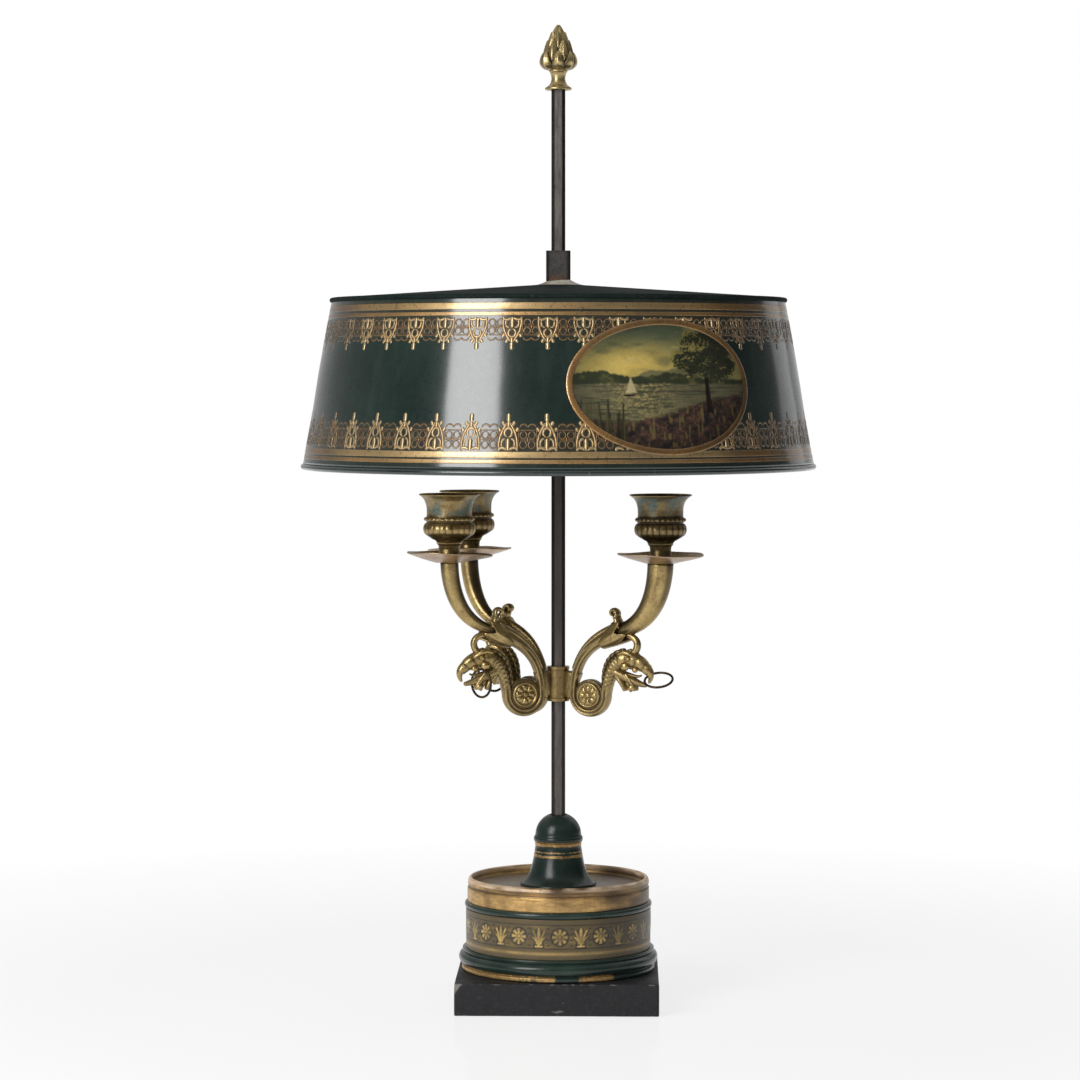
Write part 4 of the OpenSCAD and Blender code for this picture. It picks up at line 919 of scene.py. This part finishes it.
# ---- Drip pans and candle cups ----
# Each horn carries a thin brass saucer, bent by use, and a cast cup with a beaded shoulder, a fluted belly
# and a flared lip. One screw down through both holds them. Wax and damp have left grey-green in the necks.
pan_brass = brass_finish("pan_brass", (206, 180, 148), (166, 138, 106), (92, 70, 52), (140, 98, 76))
pan_r, pan_foot_r, pan_rise, pan_sheet = 32, 11, 7.6, 1.0
cup_h, cup_rim_r, cup_neck_r, cup_bulge_r, cup_stem_r, candle_r = 50, 23.4, 16.8, 19.3, 8, 11


def pan_line(radius, lift):
    """Height of the saucer over its foot at a radius: flat to pan_foot_r, then rising a little dished."""
    t = np.clip((radius - pan_foot_r) / (pan_r - pan_foot_r), 0, 1)
    return lift + (pan_rise - pan_sheet) * t * (0.88 + 0.12 * t)


out = np.linspace(2.3, pan_r, 44)
pan_profile = np.concatenate([np.stack([out, pan_line(out, pan_sheet)], -1), [[pan_r + 0.35, pan_rise - 0.5]],
                              np.stack([out[::-1], pan_line(out[::-1], 0)], -1)])
flare = curve([[cup_neck_r, cup_h - 13], [cup_neck_r, cup_h - 6], [cup_neck_r + 2.5, cup_h - 3],
               [cup_rim_r - 0.5, cup_h - 1.1]], 14)
throat = curve([[cup_rim_r - 1.4, cup_h - 0.1], [cup_neck_r + 0.5, cup_h - 2], [candle_r + 2, cup_h - 4],
                [candle_r, cup_h - 8]], 12)
belly = np.radians(np.linspace(-62, 70, 16))[:, None]
belly = np.concatenate([cup_bulge_r - 4 + 4 * np.cos(belly) ** 0.8, 24 + 5 * np.sin(belly)], 1)
cup_foot = np.array([[3.2, 0], [3.1, 1.2], [1.6, 2.2], [1.5, 3.4], [0.2, 4.6], [-0.2, 9], [0.3, 12],
                     [1.4, 12.6], [1.5, 14], [2.6, 15.4]]) + [cup_stem_r, 0]
shoulder = np.array([[0.4, 29.6], [1.7, 30.2], [2, 31.3], [1.5, 32.4], [0.2, 33], [0, 34.2]]) + [cup_neck_r, 0]
cup_profile = np.concatenate([
    eased(np.concatenate([[[2.2, 0]], cup_foot, [[cup_bulge_r - 4, 18]]]), 0.5, False), belly, shoulder,
    flare, [[cup_rim_r, cup_h - 0.6], [cup_rim_r - 0.5, cup_h]], throat,
    [[candle_r, 24.2], [4.6, 24], [4.6, 21.9], [2.2, 21.8]]])
cup_profile = stepped(cup_profile, 1.0)
# The last number of each arm darkens its cup as painted shade: most on the right, a little on the rear, and the
# front one lighter.
for side, tilt, way, painted_cup_shade in (("right", 0.35, 200, 0.3), ("front", 1.3, 20, -0.12), ("rear", 1.2, 160, 0.1)):
    angle_of = arms[side][0]
    seed = len(side)

    def bends(angle, radius, height):
        """No change of radius at the foot, and a wavy rim."""
        return smooth(radius, 20, pan_r) * (0.5 * np.sin(3 * angle + seed) - 0.3)
    grid = turned(pan_profile, 128, bends)
    radius = reach_of(grid)
    about = np.arctan2(grid[..., 1], grid[..., 0])
    sag = tilt * np.cos(about - math.radians(way)) + 0.5 * np.sin(2 * about + seed) \
        + 0.3 * np.sin(5 * about + 2 * seed) - 0.5
    grid = grid + np.array([arm_reach, 0, horn_rise])
    grid[..., 2] += smooth(radius, 12, pan_r) * sag
    patina_and_shade = [0.25 + 0.4 * (radius < 14) + 0.2 * mottle(radius / 4, about * 2, seed)]
    piece(side + "_saucer", [(set_on(grid, angle_of), True)], pan_brass, "arms", [side + "_drip_pan"],
          {"patina_and_shade": patina_and_shade, "verdigris": [0 * radius]})

    def fluting(angle, radius, height):
        """Beads on the shoulder, flutes on the belly, leaves under it and a slightly bent lip."""
        beads = np.exp(-(height - 31.3) ** 2) * (0.35 - 0.9 * abs(np.sin(15 * angle)) ** 1.4)
        flutes = 0.55 * within(height, 17.5, 21, 26.5, 29) * (abs(np.cos(12 * angle)) ** 0.6 - 0.7)
        under = 0.5 * within(height, 11.5, 14, 16, 18) * np.cos(8 * angle)
        lip = 0.5 * smooth(height, 44, cup_h) * (np.sin(2 * angle + seed) + 0.5 * np.sin(5 * angle))
        return (beads + flutes + under + lip) * (radius > candle_r + 1)
    grid = turned(cup_profile, 144, fluting)
    up = grid[..., 2]
    radius = reach_of(grid)
    about = np.arctan2(grid[..., 1], grid[..., 0])
    proper = cup_profile[:, :1] + 0 * about[0]
    patina_and_shade = 0.3 - (radius - proper) * 0.9 + 0.8 * (proper < candle_r + 1) * (up > 20)
    for amount, at, wide in ((0.75, 29, 0.9), (0.6, 33.6, 0.7), (0.5, 17.5, 2)):
        patina_and_shade = patina_and_shade + amount * np.exp(-((up - at) / wide) ** 2)
    patina_and_shade = np.clip(patina_and_shade, 0, 1)
    neck_part = within(up, 33.4, 35, 47, 49.5) * (radius > cup_neck_r - 1)
    patches = smooth(mottle(about * 20 / (2 * np.pi) / 2.5, up / 7, seed + 3, 8), -0.45, 0.25)
    grid = grid + np.array([arm_reach, 0, horn_rise + pan_sheet])
    piece(side + "_cup", [(set_on(grid, angle_of), True)], brass, "arms", [side + "_candle_cup"],
          {"patina_and_shade": [np.clip(patina_and_shade + painted_cup_shade, 0, 1)], "verdigris": [neck_part * (0.25 + 0.75 * patches)]})

# ---- Shade ----
# A cone of sheet iron with wire rolled into both edges and a shallow lid. It is lacquered bottle green outside
# and cream inside; handling has left it a little dented and its lacquer scratched and clouded.
shade_low, shade_high, sheet = (402.0, 190.5), (522.1, 169.2), 0.7


def shade_radius(height):
    """Radius of the middle of the shade's sheet at a height over the table."""
    slope = (shade_high[1] - shade_low[1]) / (shade_high[0] - shade_low[0])
    return shade_low[1] + slope * (height - shade_low[0])


def shade_dents(angle, height):
    """Shallow waves of the sheet in millimetres, none at its two edges: soft swells all round and two dents."""
    held = within(height, 402, 416, 508, 522)
    waves = 0.55 * mottle(angle * 11 / (2 * np.pi), height / 60, 31, 11) \
        + 0.22 * mottle(angle * 29 / (2 * np.pi), height / 26, 32, 29)
    dent = -0.7 * np.exp(-(((angle - 1.16) * 170 / 11) ** 2 + ((height - 478) / 10) ** 2)) \
        - 0.5 * np.exp(-(((angle - 5.1) * 170 / 14) ** 2 + ((height - 452) / 9) ** 2))
    return held * (waves + dent)


shade_lacquer, tree, shader = finish("shade_lacquer", Specular_IOR_Level=0.12, Coat_Weight=1.0,
                                     Coat_Roughness=0.13, Coat_IOR=1.62)
soft, fine = grain(tree, 14, 4, 0.55), grain(tree, 240, 5, 0.65)
swell = grain(tree, 14, 2, 0.4)
brushed = grain(tree, 90, 4, 0.6, (1, 1, 0.15))
scuffs = ranged(tree, grain(tree, 330, 6, 0.75, (1, 1, 0.4)), 0.68, 0.76)
band = sums(tree, mark(tree, "band"), ranged(tree, fine, 0.25, 0.6, 0.6, 1.0))
cream = mixed(tree, ranged(tree, grain(tree, 30, 4, 0.6), 0.4, 0.68), (226, 218, 196), (190, 176, 146))
colour = coats(tree, (22, 38, 35), ((38, 52, 46), soft, 0.32, 0.68), ((58, 70, 62), brushed, 0.5, 0.72, 0.3),
               ((90, 90, 80), scuffs, 0, 1, 0.35), ((92, 72, 52), band), (cream, mark(tree, "inside")))
join(tree, shader, height=sums(tree, sums(tree, swell, 0.8), sums(tree, fine, 0.008), "ADD"), depth=0.0012,
     strength=0.12, Base_Color=colour, Roughness=ranged(tree, fine, 0.3, 0.7, 0.22, 0.4))
wall = stepped(np.array([[0, shade_low[0]], [0, shade_high[0]]]), 2.4, closed=False)[:, 1]
shade_sides = 480
angle = full_turn(shade_sides)
height = np.concatenate([wall, wall[::-1]])[:, None] + 0 * angle
outside = np.concatenate([np.ones(len(wall)), np.zeros(len(wall))])[:, None] + 0 * angle
radius = shade_radius(height) + (outside - 0.5) * sheet + shade_dents(angle, height)
grid = round_rod(radius, angle, height)[None]
bands = np.maximum(within(height, 493, 497, 519.8, 520.4), within(height, 406, 406.4, 432, 436))
band_tone = 0.34 * bands * (0.75 + 0.25 * mottle(angle * 60 / (2 * np.pi), height / 7, 33, 60)) * outside
piece("shade_cone", [(grid, True)], shade_lacquer, "shade", ["shade_wall"],
      {"inside": [1 - outside], "band": [band_tone]})

edge_tole, tree, shader = finish("edge_tole", Coat_Weight=0.7, Coat_Roughness=0.16, Coat_IOR=1.6)
soft, fine = grain(tree, 40, 4), grain(tree, 300, 5, 0.7)
colour = coats(tree, (22, 34, 34), ((38, 52, 50), soft, 0.3, 0.7), ((104, 96, 80), fine, 0.6, 0.7, 0.75))
join(tree, shader, height=fine, depth=0.0002, strength=0.5, Base_Color=colour,
     Roughness=ranged(tree, soft, 0.3, 0.7, 0.2, 0.4))
dress(edge_tole, "shade_low_bead")

lid_tole, tree, shader = finish("lid_tole", Specular_IOR_Level=0.04)
soft, fine = grain(tree, 26, 5, 0.65), grain(tree, 420, 5, 0.7)
colour = coats(tree, (20, 30, 30), ((36, 46, 42), soft, 0.3, 0.7), ((74, 70, 60), fine, 0.55, 0.72, 0.5))
join(tree, shader, height=fine, depth=0.0002, strength=0.5, Base_Color=colour,
     Roughness=ranged(tree, soft, 0.3, 0.7, 0.6, 0.85))
dress(lid_tole, "shade_lid", "shade_top_bead")

# ---- Gilt lines and lace of the shade ----
# Laid on the lacquer with a brush in gold size and leaf: two lines at each edge, and a lace of arches and
# rings with a flame in each arch. Every stroke is a thin raised ribbon; the gold is thin and worn in places,
# and painted darker at the shade's two sides as painted shade.
motif_count, motif_turn = 43, -1.4
gilt_paint, tree, shader = finish("gilt_paint", Coat_Weight=0.8, Coat_Roughness=0.13, Coat_IOR=1.6)
soft, fine = grain(tree, 22, 4, 0.6), grain(tree, 700, 5, 0.7)
# The faint mark darkens the gold: painted shade at the shade's two sides and on the frame's right side, and a
# dimmer gold all over the netting.
colour = coats(tree, (208, 162, 100), ((150, 108, 62), fine, 0.35, 0.68), ((134, 106, 72), soft, 0.42, 0.7),
               ((218, 198, 150), mark(tree, "pale")), ((84, 66, 42), mark(tree, "faint")),
               ((78, 66, 46), grain(tree, 420, 5, 0.7), 0.56, 0.66, 0.7))
join(tree, shader, height=fine, depth=0.0001, strength=0.5, Base_Color=colour,
     Metallic=ranged(tree, fine, 0.3, 0.7, 0.85, 0.65), Roughness=ranged(tree, fine, 0.3, 0.7, 0.34, 0.5))


def on_shade(along, height, lift, turn):
    """Points on the shade's outer face: along in millimetres to the right of turn degrees from the front, at
    the shade's own radius there, and lift millimetres off the lacquer."""
    reach = shade_radius(height)
    angle = np.radians(turn - 90) + along / reach
    reach = reach + sheet / 2 + shade_dents(angle % (2 * np.pi), height) + lift
    return round_rod(reach, angle, height)


def strokes(lines, wide, turns, foot, way, stations=13):
    """Ribbons on the shade, one for each line at each turn: their sections are flat diamonds whose half width
    is wide with soft ends. A line is given in millimetres along and up from foot; way turns it upside down."""
    made = []
    for line in lines:
        line = np.asarray(line, dtype=float)
        far = np.concatenate([[0], np.cumsum(np.hypot(*np.diff(line, axis=0).T))])
        stop = np.linspace(0, far[-1], stations)
        made.append(np.stack([np.interp(stop, far, line[:, 0]), np.interp(stop, far, line[:, 1])], -1))
    made = np.stack(made)
    way_on = np.gradient(made, axis=1)
    way_on /= np.linalg.norm(way_on, axis=2, keepdims=True)
    side = np.stack([-way_on[..., 1], way_on[..., 0]], -1)
    share = np.linspace(0, 1, stations)
    half = np.array(wide)[:, None] * (0.25 + 0.75 * np.minimum(1, 6 * np.minimum(share, 1 - share)))
    across = np.array([-1, 0, 1, 0])
    lift = np.array([0.01, 0.09, 0.01, -0.05])
    spot = made[:, :, None] + (half[..., None] * across)[..., None] * side[:, :, None]
    turns = np.asarray(turns)[:, None, None, None]
    grid = on_shade(spot[..., 0], foot + way * spot[..., 1], lift, turns)
    return grid.reshape(-1, stations, 4, 3)


def pair(line):
    """A line and its mirror image."""
    line = np.asarray(line, dtype=float)
    return [line, line * (-1, 1)]


pitch = 2 * np.pi * 188 / motif_count
between = pitch / 2
lace, widths, pale = [], [], []  # lines of a motif, their half widths, and how pale their gold is
for line, wide, bright in (
        [([[0, 1.2], [0, 5], [0, 9.8]], 1.8, 0.6), ([[0, 21.2], [0, 24], [0, 27.2]], 1.7, 0.75),
         (bow(0, 13.8, 2.7, 3.3, -90, 270), 1.05, 0.35), ([[0, 17.6], [0, 21.4]], 1.5, 0.5)]
        + [(line, 1.1, 0.45) for line in pair(curve([[0.8, 1.6], [3.6, 4.4], [7.4, 3.2], [6.4, 0.9]], 12))]
        + [(line, 1.0, 0.35) for line in pair(curve([[6.4, 1.6], [7.4, 9], [4.6, 15.5], [0.6, 21.2]], 16))]
        + [(line, 0.9, 0.4) for line in pair(curve([[4.4, 3.6], [5.2, 8], [3.8, 9.6], [1.6, 9.6]], 10))]
        + [(line, 1.3, 0.5) for line in pair([[5.5, 14.6], [6.9, 17.2]]) + pair([[2.9, 18.8], [4.3, 21.6]])]):
    lace.append(line), widths.append(wide), pale.append(bright)
net, net_widths = [], []
for x in (-3.0, 3.0):
    for y in (5.4, 12.0):
        net.append(bow(between + x, y, 2.4, 2.6, 90, 450)), net_widths.append(0.62)
    net.append(bow(between + x, 17.2, 2.7, 2.4, 0, 180)), net_widths.append(0.6)
net += [np.array(line) + [between, 0] for line in (
    [[0, 7], [0, 10.4]], [[-6.6, 2], [-6.2, 17]], [[6.6, 2], [6.2, 17]], [[-5.6, 8.7], [5.6, 8.7]],
    [[-5.8, 15.4], [5.8, 15.4]])]
net_widths += [0.8, 0.4, 0.4, 0.5, 0.5]

medallion_turns, medallion_z, medallion_high, medallion_wide = (26, 206), 460.0, 46.4, 71.5


def clear_of_ovals(grid):
    """The ribbons of a grid that lie outside the painted ovals."""
    middle = grid.mean((1, 2))
    around = to_right(middle)
    inside = np.zeros(len(grid), dtype=bool)
    for turn in medallion_turns:
        off = (around - turn + 180) % 360 - 180
        inside |= (np.radians(off) * shade_radius(middle[:, 2]) / medallion_wide) ** 2 \
            + ((middle[:, 2] - medallion_z) / medallion_high) ** 2 < 1.0
    return grid[~inside], ~inside


def painted_gold_shade(grid):
    """How much the gold is painted darker at the shade's two sides as painted shade, 0 to 1."""
    return smooth(abs(np.sin(np.radians(to_right(grid) + 8))), 0.66, 0.88)


turns = motif_turn + 360 / motif_count * np.arange(motif_count)
for name, foot, way in (("low_lace", 414.4, 1), ("top_lace", 510, -0.88)):
    arch, kept = clear_of_ovals(strokes(lace, widths, turns, foot, way))
    netting, _ = clear_of_ovals(strokes(net, net_widths, turns, foot, way))
    arch_pale = np.tile(pale, motif_count)[kept][:, None, None] + 0 * arch[..., 0]
    piece(name, [(arch, False), (netting, False)], gilt_paint, "shade", ["shade_wall"],
          {"pale": [arch_pale * (1 - painted_gold_shade(arch)), 0 * netting[..., 0]],
           "faint": [0.75 * painted_gold_shade(arch), 0.62 + 0.3 * painted_gold_shade(netting)]})


def gilt_line(low, high):
    """Grid of a flat line round the shade between two heights, crowned across."""
    up = np.array([low, low + 0.25, (low + high) / 2, high - 0.25, high, (low + high) / 2])[:, None]
    lift = np.array([0.01, 0.07, 0.09, 0.07, 0.01, -0.05])[:, None]
    angle = full_turn(shade_sides)
    return round_rod(shade_radius(up) + sheet / 2 + shade_dents(angle, up) + lift, angle, up)[None]


lines = [(gilt_line(*ends), True)
         for ends in ((406.5, 409.3), (410.5, 414.9), (514.6, 519.3), (510.2, 512.8))]
piece("gilt_lines", lines, gilt_paint, "shade", ["shade_wall"],
      {"pale": [share * (1 - painted_gold_shade(grid)) for share, (grid, _) in zip((0.15, 0.4, 0.3, 0.1), lines)],
       "faint": [0.45 * painted_gold_shade(grid) for grid, _ in lines]})

# ---- Painted ovals of the shade ----
# Two pictures in oil on the lacquer, front right and opposite: evening over a lake, with low hills, a round
# tree, a sail and reeds. Each is a thin skin under varnish, framed by a gilt line with a raised middle.


def on_oval(share, turn, lift, where):
    """Points of an oval, share of the way from its middle out to its edge, at turn radians round it."""
    return on_shade(share * medallion_wide * np.cos(turn), medallion_z + share * medallion_high * np.sin(turn),
                    lift, where)


def lake_view(x, y, seed):
    """Colours of the picture: x to the right and y up in half heights of the oval, from the middle."""
    rough = mottle(x * 9 + 40, y * 14 + 40, seed + 1) * 0.6 + mottle(x * 23 + 90, y * 31 + 70, seed + 2) * 0.4
    fine = mottle(x * 44 + 150, y * 60 + 90, seed + 3)
    cloud = mottle(x * 2.2 + 30, y * 8 + 30, seed + 4) + 0.5 * mottle(x * 5 + 60, y * 17 + 50, seed + 5)
    far_hill = 0.2 + 0.09 * np.sin(2.3 * x + 0.9) + 0.03 * mottle(x * 8 + 20, 0, seed + 6) - y
    hill = 0.1 + 0.13 * np.exp(-((x + 1.15) / 0.5) ** 2) + 0.1 * np.exp(-((x - 0.1) / 0.4) ** 2) \
        + 0.035 * abs(mottle(x * 17 + 20, 0, seed + 7)) - y
    colour = painted(np.zeros(x.shape + (4,)) + shade_of(86, 96, 70),
                     (smooth(y + 0.1 * rough, 0.85, 0.3), 146, 136, 78),
                     (np.exp(-((x + 0.5) / 0.75) ** 2 - ((y - 0.3) / 0.26) ** 2), 206, 178, 92),
                     (0.55 * smooth(cloud, 0.2, 0.9) * smooth(y, 0.1, 0.4), 62, 76, 62),
                     (0.5 * smooth(-cloud, 0.35, 0.9) * smooth(y, 0.2, 0.5), 190, 170, 108),
                     (0.85 * smooth(far_hill, -0.015, 0.02), 96, 98, 70),
                     (smooth(hill, -0.015, 0.02), 52, 58, 38),
                     (0.5 * smooth(rough, 0.1, 0.7) * smooth(hill, 0.0, 0.05), 98, 94, 48))
    water = smooth(0.06 + 0.02 * rough - y, 0, 0.03)
    glint = np.exp(-((x + 0.45) / 0.5) ** 2) * smooth(y, -0.75, -0.1) * smooth(fine + 0.8 * rough, -0.6, 0.7)
    sail = smooth(0.3 - (y + 0.1), 0, 0.02) * smooth(y + 0.1, 0, 0.02) \
        * smooth(0.1 - 0.36 * (y + 0.1) - abs(x + 0.585), 0, 0.015)
    hull = smooth(0.1 - abs(x + 0.62), 0, 0.03) \
        * smooth(0.022 - abs(y + 0.13 - 0.6 * (x + 0.62) ** 2), 0, 0.012)
    colour = painted(colour, (water, 98, 94, 68), (water * glint, 160, 144, 92),
                     (0.7 * water * smooth(mottle(x * 4 + 10, y * 52 + 99, seed + 8), 0.1, 0.6), 58, 62, 46),
                     (sail, 184, 168, 124), (hull, 40, 32, 28))
    on_bank = smooth(-0.34 + 0.2 * np.sin(1.5 * x - 0.35) + 0.05 * rough - y, -0.02, 0.03)
    trunk = smooth(0.05 - 0.03 * y - abs(x - 0.72 - 0.1 * (y - 0.1) ** 2 - 0.012 * rough), 0, 0.02) \
        * smooth(0.5 - y, 0, 0.1) * smooth(y + 0.42, 0, 0.04)
    crown = np.zeros(x.shape)
    for far, up, size in ((0.3, 0.4, 0.2), (0.5, 0.62, 0.25), (0.76, 0.72, 0.22), (0.98, 0.56, 0.25),
                          (1.12, 0.32, 0.2), (0.72, 0.4, 0.3), (0.46, 0.28, 0.16), (0.92, 0.24, 0.2)):
        leafy = 1 + 0.28 * rough + 0.22 * fine - np.hypot(x - far, (y - up) * 1.15) / size
        crown = np.maximum(crown, smooth(leafy, 0, 0.12))
    lit = smooth(rough + 0.9 * fine + 0.9 * (0.7 - x) + 0.6 * (y - 0.5), 0.25, 1.0)
    colour = painted(colour, (on_bank, 58, 44, 38),
                     (0.8 * on_bank * smooth(rough + 0.5 * fine, 0.0, 0.8), 98, 68, 52),
                     (on_bank * smooth(-rough - 0.3 * fine, 0.05, 0.6), 34, 30, 34),
                     (0.7 * on_bank * smooth(mottle(x * 30 + 9, y * 8 + 9, seed + 9), 0.35, 0.8), 116, 104, 56),
                     (trunk, 30, 24, 20), (crown, 50, 54, 36), (crown * lit, 136, 126, 66),
                     (crown * smooth(-fine - rough, 0.5, 1.0), 34, 38, 30))
    for far, lean, tall, dark in zip(*np.random.default_rng(seed).uniform(-1, 1, (4, 34))):
        root, top = -1.08 + 0.34 * far, -0.3 + 0.16 * tall
        stem = smooth(0.014 - abs(x - root - 0.1 * lean * (y + 1) ** 2), 0, 0.01) * smooth(top - y, 0, 0.05) \
            * smooth(y, -1, -0.8)
        colour = painted(colour, (stem, *((84, 80, 42) if dark > 0 else (30, 32, 24))))
    return colour * (1 + 0.14 * rough + 0.08 * fine)[..., None]


oil_paint, tree, shader = finish("oil_paint", Coat_Weight=0.5, Coat_Roughness=0.12, Specular_IOR_Level=0.4)
dabs, crackle = grain(tree, 500, 4, 0.6), grain(tree, 160, 6, 0.8)
join(tree, shader, height=dabs, depth=0.0002, strength=0.5, Base_Color=mark(tree, "paint", "Color"),
     Roughness=ranged(tree, crackle, 0.3, 0.7, 0.3, 0.5))
turn = full_turn(720)
face_rows, back_rows = 92, 14
share = np.concatenate([np.linspace(0.004, 1, face_rows), np.linspace(1, 0.02, back_rows)])[:, None]
front = (np.arange(face_rows + back_rows) < face_rows)[:, None]
for name, where, seed in (("front_oval", medallion_turns[0], 61), ("back_oval", medallion_turns[1], 87)):
    skin_of = on_oval(share, turn, np.where(front, 0.2, -0.12), where)
    x, y = share * medallion_wide / medallion_high * np.cos(turn), share * np.sin(turn)
    picture = lake_view(x if seed == 61 else -x, y, seed)
    picture = picture * (1 - 0.45 * smooth(share, 0.62, 1.0))[..., None]
    # A dark ring just inside the frame is painted shadow of the frame.
    picture = painted(picture, (smooth(share, 0.952, 0.962), 30, 24, 18))
    picture[..., 3] = 1
    piece(name, [(skin_of[None], False)], oil_paint, "shade", ["shade_wall"], {"paint": [picture]})
    across = np.array([-2.4, -2.1, -1.2, 0, 1.2, 2.1, 2.4, 0])
    rise = np.array([0.1, 0.26, 0.42, 0.5, 0.42, 0.26, 0.0, -0.1])
    along = (medallion_wide - 0.6 + across) * np.cos(turn[:, None])
    up = medallion_z + (medallion_high - 0.6 + across) * np.sin(turn[:, None])
    frame_of = on_shade(along, up, rise, where)[None]
    # The frame's gold is painted darker towards the oval's right side as painted shade.
    wear_and_shade = 0.05 + 0.45 * smooth(np.cos(turn + 0.3), 0.0, 1)[:, None] + 0 * across
    piece(name + "_frame", [(frame_of, True)], gilt_paint, "shade", ["shade_wall"],
          {"pale": [0 * wear_and_shade], "faint": [wear_and_shade]})
